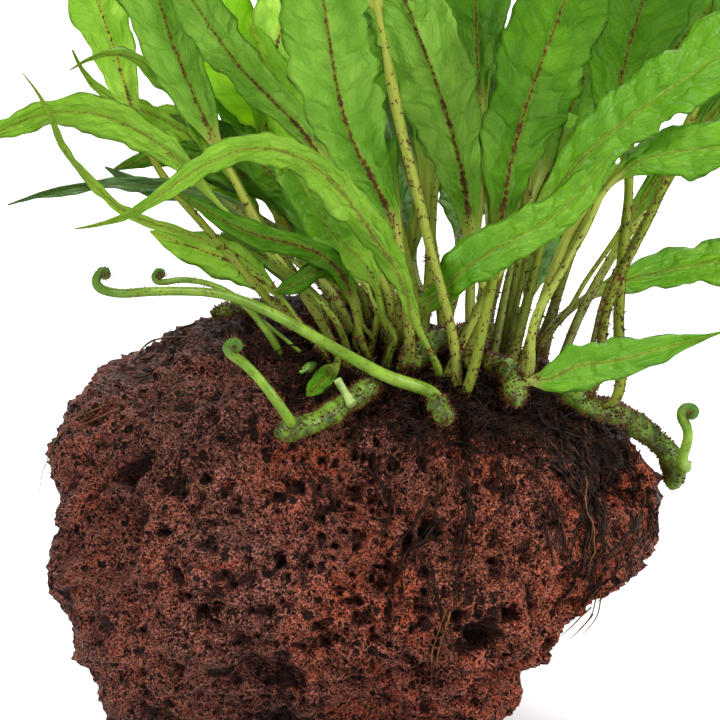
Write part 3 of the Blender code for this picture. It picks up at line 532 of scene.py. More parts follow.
def frond(name, form, material, seed, narrow=1.0, waves=1.0, slim=1.0):
    """A frond: a round stalk that carries on as the midrib of a thin, quilted blade with a wavy, lobed edge.

    Over the parameters along u and across t, from -1 at the left edge to 1 at the right:
    point = midrib(u) + across(u) x + upper(u) (fold + wave + quilt +- thickness), with x = t half(u) lobes.
    The wave is noise along u that grows towards the edge.
    """
    u, middle, across, upper, blade, width, stalk = frond_rows(form, narrow, slim)
    big = width.max()
    half_columns = int(np.clip(form[3].max() * COLUMNS_TO_WIDTH, 5, 13))
    t = np.linspace(-1, 1, 2 * half_columns + 1)
    share = np.sin(t * math.pi / 2) * (1 - blade) + np.sign(t) * np.abs(t) ** 1.4 * blade
    lobes = sum(height * side_noise(u, t, size, seed + own) for height, size, own in LOBES)
    x = share * width[:, None] * (1 + waves * blade * lobes * np.abs(t) ** 3)
    outward = np.clip(1.2 * np.abs(x) / big, 0, 1)
    wave = sum(
        (height + share * big) * side_noise(u, t, size, seed + own) * outward**power
        for height, share, size, own, power in WAVES
    )
    vein_count, quilt = quilted(u, t, x, big, seed)
    height = FOLD * np.abs(x) * blade + blade * (waves * wave + quilt)
    gone = u[:, None] / u[-1]
    rib = np.minimum(stalk * (1 - RIB_TAPER * gone) * (1 - 0.3 * blade), width[:, None])
    over, under = leaf_thickness(t, x, rib, blade)
    line = middle[:, None] + across[:, None] * x[..., None]
    top = line + upper[:, None] * (height + over)[..., None]
    bottom = line + upper[:, None] * (height - under)[..., None]
    loop = looped(top, bottom)
    faces = tube_faces(1, *loop.shape[:2])
    if np.cross(across[0], upper[0]) @ (middle[1] - middle[0]) > 0:
        faces = [part[:, ::-1] for part in faces]
    uv = {"leaf": (u[:, None] / LEAF_UV, x / LEAF_UV), "vein": (vein_count, t), "form": (blade, gone)}
    for key, pair in uv.items():
        both = np.stack(np.broadcast_arrays(*pair, x)[:2], axis=-1)
        uv[key] = looped(both, both).reshape(-1, 2)
    title = name.replace("frond_", "leaf_")
    piece = mesh_piece(title, loop.reshape(-1, 3), faces, material, uv=uv)
    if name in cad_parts:
        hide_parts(name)
    return {
        "u": u, "middle": middle, "across": across, "upper": upper, "blade": blade[:, 0], "rib": rib[:, 0],
        "under": (under - height)[:, half_columns], "length": u[-1], "big": big,
    }


def frond_scales(forms, density, own):
    """Roots, directions and sizes of brown scales: round the stalks, and on the under side of the midribs."""
    roots, along, across, lengths, widths = [], [], [], [], []
    for form in forms:
        count = int(form["length"] * density * own.uniform(0.6, 1.5))
        place = own.uniform(0, 1, count) ** 1.5 * (len(form["u"]) - 2)
        place = np.clip(place + 5.0 * line_noise(place, 9.0, count % 97), 0, len(form["u"]) - 2.01)
        low = place.astype(int)

        def read(key):
            """The form's values at the places."""
            return between(form[key].reshape(len(form["u"]), -1), place)

        tangent = unit(form["middle"][low + 1] - form["middle"][low])
        blade = read("blade")
        gone = read("u") / form["length"]
        keep = own.uniform(0, 1, (count, 1)) < np.where(blade > 0.5, 1.1 - 1.3 * gone, 0.85 - 1.2 * gone)
        below = -math.pi / 2 + own.normal(0, 0.55, (count, 1))
        angle = np.where(blade > 0.5, below, own.uniform(0, 2 * math.pi, (count, 1)))
        outward = np.cos(angle) * read("across") + np.sin(angle) * read("upper")
        radius = np.where(blade > 0.5, np.maximum(read("under"), 0.1), read("rib"))
        root = read("middle") + outward * radius * 0.95
        way = own.choice([-0.6, 1.0], (count, 1)) * tangent + outward * own.uniform(0.1, 0.8, (count, 1))
        way = unit(way + 0.5 * own.normal(0, 1, (count, 3)))
        beside = unit(np.cross(way, outward + 0.01))
        shown = keep[:, 0]
        roots.append(root[shown])
        along.append(way[shown])
        across.append(beside[shown])
        size = own.uniform(0.3, 1.0, shown.sum()) ** 1.8
        size = size * np.where(blade[shown, 0] > 0.5, 0.8, 1.15)
        lengths.append(0.25 + 1.0 * size)
        widths.append(0.12 + 0.4 * size)
    return [np.concatenate(part) for part in (roots, along, across, lengths, widths)]


def tube_hairs(path, fat, density, reach, width, own):
    """Roots, directions and sizes of fine hairs that stand out from a tube all round."""
    count = int(path_places(path)[-1] * density)
    place = own.uniform(0.5, len(path) - 1.5, count)
    low = place.astype(int)
    tangent = unit(path[low + 1] - path[low])
    outward = own.normal(0, 1, (count, 3))
    outward = unit(outward - tangent * (outward * tangent).sum(axis=-1, keepdims=True))
    way = unit(outward + own.normal(0, 0.35, (count, 3)))
    beside = unit(np.cross(way, tangent))
    roots = path[low] + outward * fat[low][:, None] * 0.95
    return roots, way, beside, own.uniform(0.5, 1.0, count) * reach, np.full(count, width)


# Shader nodes


def node(tree, kind, inputs=None, **settings):
    """A shader node with its settings; inputs maps socket names or numbers to values or to other sockets."""
    made = tree.nodes.new(kind)
    for name, value in settings.items():
        setattr(made, name, value)
    for name, value in (inputs or {}).items():
        if isinstance(value, bpy.types.NodeSocket):
            tree.links.new(value, made.inputs[name])
        else:
            made.inputs[name].default_value = value
    return made


def calc(tree, operation, *values, clamp=False):
    """The result of a Math node."""
    made = node(tree, "ShaderNodeMath", dict(enumerate(values)), operation=operation, use_clamp=clamp)
    return made.outputs[0]


def chain_of(operation):
    """A function that joins any number of values by a Math operation, one after another."""

    def chain(tree, value, *others, clamp=False):
        """The values joined, from the first to the last."""
        for other in others:
            value = calc(tree, operation, value, other, clamp=clamp)
        return value

    return chain


times, plus, minus, highest = (chain_of(name) for name in ("MULTIPLY", "ADD", "SUBTRACT", "MAXIMUM"))


def swing(tree, value, size):
    """How far a value is from a half, times the size."""
    return times(tree, minus(tree, value, 0.5), size)


def vector_calc(tree, operation, *values):
    """The result of a Vector Math node."""
    return node(tree, "ShaderNodeVectorMath", dict(enumerate(values)), operation=operation).outputs[0]


def mixed(tree, share, first, second, mode="MIX"):
    """Two colours mixed by a share."""
    settings = {"data_type": "RGBA", "blend_type": mode, "clamp_factor": True}
    return node(tree, "ShaderNodeMix", {0: share, 6: first, 7: second}, **settings).outputs[2]


def spread(tree, value, low, high, start=0.0, end=1.0):
    """The value's place between low and high, brought between start and end with a smooth rise."""
    settings = {"Value": value, "From Min": low, "From Max": high, "To Min": start, "To Max": end}
    return node(tree, "ShaderNodeMapRange", settings, interpolation_type="SMOOTHSTEP").outputs[0]


def noise(tree, vector, scale, detail=2.0, roughness=0.5, distortion=0.0, output="Fac"):
    """The value of a Noise texture, or its colour."""
    values = {
        "Vector": vector, "Scale": scale, "Detail": detail, "Roughness": roughness, "Distortion": distortion,
    }
    return node(tree, "ShaderNodeTexNoise", values).outputs[output]


def cell_edge(tree, vector, scale, randomness):
    """The distance to the nearest edge between a Voronoi texture's cells."""
    values = {"Vector": vector, "Scale": scale, "Randomness": randomness}
    return node(tree, "ShaderNodeTexVoronoi", values, feature="DISTANCE_TO_EDGE").outputs["Distance"]


def parts_of(tree, vector):
    """The three numbers of a vector."""
    return node(tree, "ShaderNodeSeparateXYZ", {0: vector}).outputs


def own_place(tree):
    """The piece's own coordinates, in metres."""
    return node(tree, "ShaderNodeTexCoord").outputs["Object"]


def own_map(tree, name):
    """The coordinates of the piece's own map of that name."""
    return node(tree, "ShaderNodeUVMap", uv_map=name).outputs[0]


def own_mask(tree, name):
    """The piece's own number of that name at each point."""
    return node(tree, "ShaderNodeAttribute", attribute_name=name).outputs["Fac"]


def colour(*values):
    """A colour with full opacity."""
    return (*values, 1.0)


def new_group(name, inputs, outputs):
    """A node group, its entry and its exit; inputs and outputs map the names of sockets to their kinds."""
    tree = bpy.data.node_groups.new(name, "ShaderNodeTree")
    for way, sockets in (("INPUT", inputs), ("OUTPUT", outputs)):
        for title, kind in sockets.items():
            tree.interface.new_socket(title, in_out=way, socket_type="NodeSocket" + kind)
    return tree, tree.nodes.new("NodeGroupInput").outputs, tree.nodes.new("NodeGroupOutput").inputs


def quilted_skin(tree, given, blade, gone):
    """A blade's colour, its quilt, and its large and small veins.

    Fresh and deep green lie in clouds, deeper along the veins, with painted shade towards the foot and in the
    quilt's valleys.
    """
    vein_count, width_share, _ = parts_of(tree, given["Vein"])
    cloudy = spread(tree, noise(tree, given["Place"], 60.0, 3.0, 0.55), 0.3, 0.75)
    # Painted shade: the green deepens towards the leaf's foot, mixed with random clouds
    cloud_and_foot_shade = plus(tree, cloudy, spread(tree, gone, 0.0, 0.6, 0.45, 0.0), clamp=True)
    skin = mixed(tree, cloud_and_foot_shade, given["Fresh"], given["Deep"])
    aligned = node(tree, "ShaderNodeCombineXYZ", {0: vein_count, 1: times(tree, width_share, 1.7)}).outputs[0]
    wobble = vector_calc(tree, "SUBTRACT", noise(tree, aligned, 1.6, output="Color"), (0.5, 0.5, 0.5))
    bent = vector_calc(tree, "MULTIPLY_ADD", wobble, (0.45, 0.45, 0.45), aligned)
    edge = cell_edge(tree, bent, 1.0, 0.75)
    large = spread(tree, edge, 0.0, 0.06, 1.0, 0.0)
    small = spread(tree, cell_edge(tree, bent, 2.6, 0.9), 0.0, 0.07, 1.0, 0.0)
    net = times(tree, highest(tree, large, times(tree, small, 0.3)), given["Net"], blade)
    quilt = times(tree, spread(tree, edge, 0.0, 0.34), blade)
    # Painted shade in the valleys between the quilt's domes
    valley_shade = times(tree, minus(tree, 1.0, quilt), given["Net"], 0.45, blade)
    grain = times(tree, spread(tree, noise(tree, given["Leaf"], 260.0, 4.0, 0.7), 0.45, 0.7), blade, 0.35)
    for share in (valley_shade, times(tree, net, 0.6), grain):
        skin = mixed(tree, share, skin, given["Deep"])
    cell = node(tree, "ShaderNodeTexVoronoi", {"Vector": bent, "Scale": 1.0, "Randomness": 0.75})
    tone = times(tree, spread(tree, cell.outputs["Color"], 0.35, 1.0, 0.0, 0.10), blade)
    return mixed(tree, tone, skin, colour(0.42, 0.62, 0.13)), quilt, large, small


def stalk_skin(tree, given):
    """A stalk's colour: fibres along it, and a brown darkening low down, partly soil and partly painted shade,
    strongest deep in the clump.
    """
    fibres = node(tree, "ShaderNodeMapping", {0: given["Leaf"], "Scale": (3.0, 170.0, 1.0)}).outputs[0]
    fibrous = spread(tree, noise(tree, fibres, 3.0), 0.35, 0.7, 0.0, 0.35)
    stalk = mixed(tree, fibrous, given["Stalk"], given["Rib"])
    _, inward, level = parts_of(tree, given["Place"])
    level = plus(tree, level, swing(tree, noise(tree, given["Leaf"], 70.0, 4.0, 0.7), 0.04))
    # Darker low down and deep in the clump: partly soil, partly painted shade
    deep_in = spread(tree, inward, -0.014, 0.001, 0.15, 1.0)
    soil_and_shade = times(tree, spread(tree, level, 0.066, 0.102, 0.95, 0.0), deep_in)
    return mixed(tree, soil_and_shade, stalk, colour(0.058, 0.034, 0.007))


def brown_marks(tree, given, along, across, blade, tapered, veins):
    """Where a leaf is brown, and its brown: a broken streak on the midrib, specks on veins, flecks below."""
    leaf = given["Leaf"]
    ragged = noise(tree, leaf, 130.0, 4.0, 0.7)
    only_along = node(tree, "ShaderNodeCombineXYZ", {0: along}).outputs[0]
    unbroken = spread(tree, noise(tree, only_along, 34.0, 3.0, 0.6), 0.38, 0.64, 0.0, 0.75)
    streak_width = times(tree, unbroken, calc(tree, "POWER", tapered, 1.6))
    ragged_edge = plus(tree, across, swing(tree, ragged, 2.6))
    streak = times(tree, spread(tree, minus(tree, ragged_edge, streak_width), -0.22, 0.08, 1.0, 0.0), blade)
    specks = spread(tree, noise(tree, leaf, 210.0, 3.0, 0.7), 0.64, 0.72)
    near_rib = spread(tree, across, 0.8, 5.0, 1.0, 0.0)
    on_vein = times(tree, times(tree, veins, near_rib, tapered, 2.0, specks), blade, clamp=True)
    flecks = spread(tree, noise(tree, leaf, 160.0, 4.0, 0.65), 0.66, 0.72)
    flecks = times(tree, flecks, minus(tree, 1.0, blade))
    brown = times(tree, highest(tree, streak, on_vein, flecks), given["Brown"], clamp=True)
    rusty = spread(tree, ragged, 0.4, 0.6)
    return brown, mixed(tree, rusty, colour(0.12, 0.045, 0.008), colour(0.028, 0.010, 0.003))


def leaf_skin_group():
    """Colour and height of a leaf: quilted blade, midrib, stalk and brown marks.

    The maps are the leaf's own: Leaf is along and across, Vein is the side veins' count and the share of the
    width, and Form is the share of blade and the share of the length.
    """
    inputs = dict.fromkeys(("Leaf", "Vein", "Form", "Place"), "Vector")
    inputs.update(dict.fromkeys(("Fresh", "Deep", "Rib", "Stalk"), "Color"), Net="Float", Brown="Float")
    outputs = {"Colour": "Color", "Height": "Float", "Mask": "Float"}
    tree, given, result = new_group("leaf_skin", inputs, outputs)
    along, sideways, _ = parts_of(tree, given["Leaf"])
    across = calc(tree, "ABSOLUTE", times(tree, sideways, LEAF_UV))
    blade, gone, _ = parts_of(tree, given["Form"])
    tapered = spread(tree, gone, 0.25, 1.0, 1.0, 0.0)
    veined, quilt, large, small = quilted_skin(tree, given, blade, gone)
    rib_width = plus(tree, 0.22, times(tree, tapered, 0.35))
    rib_mask = spread(tree, minus(tree, across, rib_width), -0.2, 0.15, 0.8, 0.0)
    skin = mixed(tree, blade, stalk_skin(tree, given), mixed(tree, rib_mask, veined, given["Rib"]))
    brown, rust = brown_marks(tree, given, along, across, blade, tapered, large)
    fine = noise(tree, given["Leaf"], 420.0, 3.0, 0.6)
    height = plus(tree, times(tree, quilt, 1.6), times(tree, fine, 0.25))
    height = minus(tree, height, times(tree, small, blade, 0.25))
    tree.links.new(mixed(tree, brown, skin, rust), result["Colour"])
    tree.links.new(plus(tree, height, times(tree, brown, 0.8)), result["Height"])
    tree.links.new(brown, result["Mask"])
    return tree


def new_material(name):
    """An empty node material and its output."""
    material = bpy.data.materials.new(name)
    material.use_nodes = True
    tree = material.node_tree
    tree.nodes.clear()
    return material, tree, tree.nodes.new("ShaderNodeOutputMaterial")


def bumped(tree, height, strength, distance):
    """The normal of a surface with the given height on it."""
    inputs = {"Strength": strength, "Distance": distance, "Height": height}
    return node(tree, "ShaderNodeBump", inputs).outputs[0]


def surface_of(tree, base, roughness, sheen, normal=None):
    """A surface of one colour, roughness and strength of reflection."""
    inputs = {"Base Color": base, "Roughness": roughness, "Specular IOR Level": sheen}
    if normal:
        inputs["Normal"] = normal
    return node(tree, "ShaderNodeBsdfPrincipled", inputs).outputs[0]


def lit_through(tree, surface, passes, tint, normal=None):
    """The surface mixed with light that comes through it, by the share that passes."""
    inputs = {"Color": tint}
    if normal:
        inputs["Normal"] = normal
    through = node(tree, "ShaderNodeBsdfTranslucent", inputs)
    return node(tree, "ShaderNodeMixShader", {0: passes, 1: surface, 2: through.outputs[0]}).outputs[0]


def leaf_material(name, skin, fresh, deep, rib, stalk, net, brown, roughness, sheen, glow, passes):
    """A thin leaf: the shared skin under a satin surface, mixed with light that comes through it."""
    material, tree, output = new_material(name)
    tones = {"Fresh": colour(*fresh), "Deep": colour(*deep), "Rib": colour(*rib), "Stalk": colour(*stalk)}
    maps = {title: own_map(tree, title.lower()) for title in ("Leaf", "Vein", "Form")}
    inputs = {**maps, **tones, "Place": own_place(tree), "Net": net, "Brown": brown}
    made = node(tree, "ShaderNodeGroup", inputs, node_tree=skin).outputs
    normal = bumped(tree, made["Height"], 0.8, 0.00042)
    rough = plus(tree, times(tree, made["Mask"], 0.3), roughness)
    surface = surface_of(tree, made["Colour"], rough, sheen, normal)
    lit = mixed(tree, 1.0, made["Colour"], colour(*glow), "MULTIPLY")
    tree.links.new(lit_through(tree, surface, passes, lit, normal), output.inputs[0])
    return material


def pore_group():
    """Pores strewn one to a cell: painted shade inside each, the rim round it that takes a painted highlight,
    and how deep it is.

    From the distance to the cell's centre the cell's own radius is taken: below 0 is inside, above 0 is rim.
    """
    inputs = {"Place": "Vector", "Scale": "Float", "Share": "Float"}
    tree, given, result = new_group("pores", inputs, dict.fromkeys(("Dark", "Rim", "Depth"), "Float"))
    cell = node(tree, "ShaderNodeTexVoronoi", {"Vector": given["Place"], "Scale": given["Scale"]}).outputs
    own = node(tree, "ShaderNodeSeparateColor", {0: cell["Color"]}).outputs
    reach = plus(tree, 0.16, times(tree, own[0], 0.36))
    from_edge = minus(tree, cell["Distance"], reach)
    present = calc(tree, "LESS_THAN", own[1], given["Share"])
    # Dark: painted shade inside the pore
    dark = times(tree, spread(tree, from_edge, -0.12, 0.02, 1.0, 0.0), present)
    # Rim: the ring round the pore where the painted highlight goes
    rim = times(tree, spread(tree, from_edge, 0.02, 0.18, 1.0, 0.0), minus(tree, present, dark))
    depth = times(tree, spread(tree, from_edge, -0.25, 0.05, 1.0, 0.0), present)
    for title, value in (("Dark", dark), ("Rim", rim), ("Depth", depth)):
        tree.links.new(value, result[title])
    return tree


# Patches of colour on the rock: noise scale, roughness and distortion, its low and high, the share of the
# colour at low and at high, and the colour
ROCK_PATCHES = [
    (62.0, 0.60, 0.0, 0.52, 0.68, 0.0, 0.8, (0.58, 0.085, 0.018)),
    (52.0, 0.65, 0.4, 0.50, 0.64, 0.0, 0.6, (0.105, 0.044, 0.035)),
    (34.0, 0.60, 0.0, 0.40, 0.56, 0.8, 0.0, (0.060, 0.019, 0.013)),
]
PORE_SIZES = ((400.0, 0.38, 1.0), (820.0, 0.75, 0.6), (1450.0, 0.9, 0.35))  # scale, share of cells, depth
# Painted shade in the pores, deep hollows and low places
PORE_SHADE = colour(0.009, 0.0030, 0.0020)
# The soiled place under the clump: its centre and its reach to each side, in metres
SOIL_CENTRE = (0.022, 0.010, 0.088)
SOIL_REACH = (0.051, 0.045, 0.0215)


def lava_colours(tree, place, mottle, crest):
    """The colour of lava in patches with painted highlights on its crests, and the colour of its painted
    highlights; both are warmer to the right.
    """
    patches = noise(tree, place, 45.0, 4.0, 0.6)
    rightwards = plus(tree, times(tree, parts_of(tree, place)[0], 6.0), times(tree, patches, 1.4))
    warm = spread(tree, rightwards, 0.25, 1.2)
    base = mixed(tree, warm, colour(0.215, 0.062, 0.043), colour(0.560, 0.090, 0.037))
    for scale, roughness, distortion, low, high, start, end, tint in ROCK_PATCHES:
        share = spread(tree, noise(tree, place, scale, 3.0, roughness, distortion), low, high, start, end)
        base = mixed(tree, share, base, colour(*tint))
    base = mixed(tree, spread(tree, mottle, 0.46, 0.56, 0.0, 0.75), base, colour(0.034, 0.0085, 0.0055))
    # Painted highlight: the crests are lighter
    base = mixed(tree, spread(tree, crest, 0.62, 1.0, 0.0, 0.3), base, colour(0.36, 0.115, 0.072))
    # The second colour is that of the painted highlights on rims and specks
    return base, mixed(tree, warm, colour(0.54, 0.235, 0.175), colour(0.88, 0.270, 0.145))


def lava_pores(tree, place):
    """Pores of three sizes: the painted highlight on their rims, the painted shade inside them, and how deep
    they are in all.
    """
    wobble = noise(tree, place, 900.0, 3.0, output="Color")
    bent = vector_calc(tree, "MULTIPLY_ADD", wobble, (0.0014, 0.0014, 0.0014), place)
    pores = pore_group()
    found = []
    for scale, share, _ in PORE_SIZES:
        inputs = {"Place": bent, "Scale": scale, "Share": share}
        found.append(node(tree, "ShaderNodeGroup", inputs, node_tree=pores).outputs)
    rim, dark = (highest(tree, *(made[title] for made in found)) for title in ("Rim", "Dark"))
    depths = (times(tree, made["Depth"], depth) for made, (_, _, depth) in zip(found, PORE_SIZES))
    return rim, dark, plus(tree, *depths)


def soiled_rock(tree, place, mottle, base):
    """The rock's colour with algae round the clump, and soil under it."""
    mapping = {0: place, "Location": SOIL_CENTRE, "Scale": SOIL_REACH}
    centred = node(tree, "ShaderNodeMapping", mapping, vector_type="TEXTURE").outputs[0]
    far = node(tree, "ShaderNodeVectorMath", {0: centred}, operation="LENGTH").outputs["Value"]
    far = plus(tree, far, swing(tree, mottle, 0.9))
    algae = spread(tree, noise(tree, place, 95.0, 4.0, 0.65), 0.50, 0.62, 0.0, 0.5)
    algae = times(tree, algae, spread(tree, far, 1.0, 1.9, 1.0, 0.0))
    base = mixed(tree, algae, base, colour(0.034, 0.034, 0.008))
    return mixed(tree, spread(tree, far, 0.70, 1.25, 0.82, 0.0), base, colour(0.020, 0.008, 0.004))


def rock_material():
    """Porous red-brown lava: colour in patches, pores of three sizes with painted shade inside and painted
    highlights on their rims, painted shade in the hollows, a damp glint.
    """
    material, tree, output = new_material("rock_lava")
    place = own_place(tree)
    hollow, crest = own_mask(tree, "hollow"), own_mask(tree, "crest")
    mottle = noise(tree, place, 430.0, 6.0, 0.75)
    speck = noise(tree, place, 2100.0, 3.0, 0.75)
    base, painted_highlight = lava_colours(tree, place, mottle, crest)
    rim, dark, depth = lava_pores(tree, place)
    # Painted highlight on the pores' rims, in patches
    rim = times(tree, rim, spread(tree, noise(tree, place, 1500.0, 3.0, 0.7), 0.42, 0.62, 0.0, 0.75))
    base = mixed(tree, rim, base, painted_highlight)

    # Dark and bright specks between the pores, partly grit and partly painted shade and highlight of the fine
    # relief; then painted shade in pores, hollows and low places
    base = mixed(tree, spread(tree, speck, 0.40, 0.51, 0.9, 0.0), base, colour(0.018, 0.0045, 0.003))
    # Bright specks: lighter grains and painted glints
    bright = spread(tree, noise(tree, place, 75.0, 3.0, 0.6), 0.36, 0.62, 0.4, 1.0)
    bright = times(tree, bright, spread(tree, speck, 0.53, 0.61, 0.0, 0.85))
    base = mixed(tree, bright, base, painted_highlight)
    # Painted shade in the deep hollows, the pores and the low places between the crests
    hollow_shade = spread(tree, plus(tree, hollow, swing(tree, mottle, 1.6)), 0.42, 0.78, 0.0, 0.96)
    dark = highest(tree, times(tree, dark, 0.95), hollow_shade, spread(tree, crest, 0.0, 0.5, 0.85, 0.0))
    base = soiled_rock(tree, place, mottle, mixed(tree, dark, base, PORE_SHADE))
    height = plus(tree, minus(tree, times(tree, mottle, 1.7), depth), times(tree, speck, 0.8))
    damp = spread(tree, noise(tree, place, 120.0, 3.0), 0.38, 0.6, 0.32, 0.62)
    normal = bumped(tree, height, 1.0, 0.0017)
    tree.links.new(surface_of(tree, base, damp, 0.14, normal), output.inputs[0])
    return material


def plain_material(name, first, second, size, roughness, bump=0.0002, passes=0.0, sheen=0.4, tip=None):
    """Two tones in noise of the given size over a lightly bumpy surface, for stems, roots and scales.

    tip is a third colour, mixed in by the piece's own mask of that name.
    """
    material, tree, output = new_material(name)
    tone = noise(tree, own_place(tree), 1000.0 / size, 4.0, 0.6)
    base = mixed(tree, spread(tree, tone, 0.35, 0.65), colour(*first), colour(*second))
    if tip:
        base = mixed(tree, own_mask(tree, "tip"), base, colour(*tip))
    last = surface_of(tree, base, roughness, sheen, bumped(tree, tone, 0.6, bump))
    if passes:
        last = lit_through(tree, last, passes, base)
    tree.links.new(last, output.inputs[0])
    return material


# Stems, young fronds and roots

SLIMMER = {"rhizome_back": 0.5}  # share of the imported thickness, where it is less than STEM_SHARE
STEM_SHARE = 0.86
KNOBS = [(0.13, 4.4, 0), (0.07, 1.9, 1), (0.05, 0.8, 2)]  # noise on a stem: share of its radius, size, seed
COIL_RINGS = 4  # rings at the end of a packed young frond that the spiral takes the place of
COIL_BEND = 0.85  # the coil is bent no wider than this
COIL_TURN = 1.9 * math.pi
COIL_START = 0.74  # share of a young frond's points that come before its coil
# Rings left out at the foot, where it lay along a stem
FEET_SKIPPED = {"fiddlehead_front": 4, "fiddlehead_right": 2}
GRID_HALF = 110  # half the width of the grid of the rock's depths, a millimetre to a step


def tube_form(name, sides):
    """The middle line of a packed tube and its half thickness at each ring."""
    rings = rings_of(name, sides)
    middle = rings.mean(axis=1)
    return middle, np.linalg.norm(rings - middle[:, None], axis=-1).mean(axis=1)


def rhizome(name, material, seed):
    """A creeping stem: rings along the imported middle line, knobbly with noise and rounded at the ends.

    Radius = packed radius (1 + noise of three sizes) times the root of 1 - s^2 near each end.
    """
    middle, radius = tube_form(name, 8)
    inner = np.median(radius)
    middle[0] -= 0.45 * inner * unit(middle[1] - middle[0])
    middle[-1] += 0.45 * inner * unit(middle[-1] - middle[-2])
    at = path_places(middle)
    rows, around = 80, 30
    u = np.linspace(0, at[-1], rows)
    path = smooth_columns(middle, at, u)
    _, side, other = carried_frames(path, unit(np.cross(path[1] - path[0], SIGHT)))
    fat = SLIMMER.get(name, STEM_SHARE) * np.interp(u, at, np.maximum(radius, STEM_SHARE * inner))
    from_end = np.minimum(u, u[-1] - u) / (1.1 * inner)
    fat = fat * np.sqrt(np.clip(1 - (1 - np.clip(from_end, 0.04, 1)) ** 2, 0, 1))
    ring = directions_round(side, other, around)
    spots = path[:, None] + 2.4 * ring
    bumps = sum((height * soft_noise(spots, size, seed + own) for height, size, own in KNOBS), 1)
    points = path[:, None] + ring * (fat[:, None] * bumps)[..., None]
    title = name.replace("rhizome", "creeping_stem")
    piece = mesh_piece(title, points.reshape(-1, 3), tube_faces(1, rows, around), material)
    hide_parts(name)
    return path, fat


def fiddlehead(name, material, stems):
    """A young frond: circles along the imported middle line, then along a spiral into the coil's centre.

    The spiral turns in the plane of the last points, and its radius falls evenly to under a quarter. The tube
    swells towards the coil.
    """
    skipped = FEET_SKIPPED.get(name, 0)
    middle, radius = (part[skipped:-COIL_RINGS] for part in tube_form(name, 6))
    middle, radius, _, _ = rooted((middle, radius, radius, radius), stems, 0.0 if skipped else 0.3)
    at = path_places(middle)
    rows = 130
    u = np.linspace(0, at[-1], rows)
    table = smooth_columns(np.column_stack([middle, radius]), at, u)
    path, fat = table[:, :3], STEM_SHARE * table[:, 3]
    before, last, end = path[-9], path[-5], path[-1]
    first, second = last - before, end - last
    normal = unit(np.cross(first, second))
    tangent = unit(second)
    inward = np.cross(normal, tangent)
    bend = np.linalg.norm(first) / max(np.arccos(np.clip(unit(first) @ tangent, -1, 1)), 0.05)
    bend = min(bend, COIL_BEND)
    turns = np.linspace(0, COIL_TURN, 50)[1:, None]
    wound = bend * (1 - 0.78 * turns / turns[-1])
    coil = end + inward * bend + wound * (np.sin(turns) * tangent - np.cos(turns) * inward)
    path = np.concatenate([path, coil])
    fat = np.concatenate([fat, fat[-1] * (1 - 0.25 * turns[:, 0] / turns[-1, 0])])
    fat[-1] = 0.05
    gone = np.linspace(0, 1, len(path))
    fat = fat * (1 + 0.35 * eased(0.45, COIL_START, gone))
    sides = 14
    points, faces = tubes(path[None], fat[None], sides)
    tip = np.repeat(eased(0.60, 0.76, gone), sides)
    title = name.replace("fiddlehead", "young_frond")
    piece = mesh_piece(title, points, faces, material, attributes={"tip": tip})
    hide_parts(name)
    return path, fat


def front_depths(surface):
    """How far away the rock's surface is over a grid of places seen from the front, a millimetre apart."""
    across, up, away = to_front(surface).T
    grid = np.full((2 * GRID_HALF, 2 * GRID_HALF), np.inf)
    cell = np.round(across).astype(int) + GRID_HALF, np.round(up).astype(int) + GRID_HALF
    np.minimum.at(grid, cell, away)
    return grid


def laid_on_rock(grid, places, lift):
    """The places across and up, brought onto the rock seen from the front and raised towards the eye.

    The depth is read between the grid's four nearest places; off the rock it stays that of the last place
    on it.
    """
    at = places + GRID_HALF
    low = np.clip(np.floor(at).astype(int), 0, 2 * GRID_HALF - 2)
    part = at - low
    total, weight = np.zeros(places.shape[:-1]), np.zeros(places.shape[:-1])
    for step in itertools.product((0, 1), repeat=2):
        share = np.where(np.array(step, bool), part, 1 - part).prod(axis=-1) + 1e-6
        depth = grid[low[..., 0] + step[0], low[..., 1] + step[1]]
        known = np.isfinite(depth)
        total += np.where(known, depth, 0) * share * known
        weight += share * known
    depth = np.where(weight > 0, total / np.maximum(weight, 1e-9), np.nan)
    for i in range(1, depth.shape[1]):
        depth[:, i] = np.where(np.isnan(depth[:, i]), depth[:, i - 1], depth[:, i])
    for i in range(depth.shape[1] - 2, -1, -1):
        depth[:, i] = np.where(np.isnan(depth[:, i]), depth[:, i + 1], depth[:, i])
    return from_front(np.concatenate([places, (depth - lift)[..., None]], axis=-1))


def over_rock(grid, places):
    """The share of each root's places that lie over the rock seen from the front."""
    cell = np.clip(np.round(places).astype(int) + GRID_HALF, 0, 2 * GRID_HALF - 1)
    return np.isfinite(grid[cell[..., 0], cell[..., 1]]).mean(axis=-1)


LINE_STEPS = 120  # points along a route
SWAYS = [(2.2, 13.0, 0), (1.1, 5.0, 1), (0.35, 2.0, 2)]  # noise that sways a root: reach, size and seed
ROCK_RADIUS = 45.0  # about the rock's half width, to turn lengths into angles round its centre


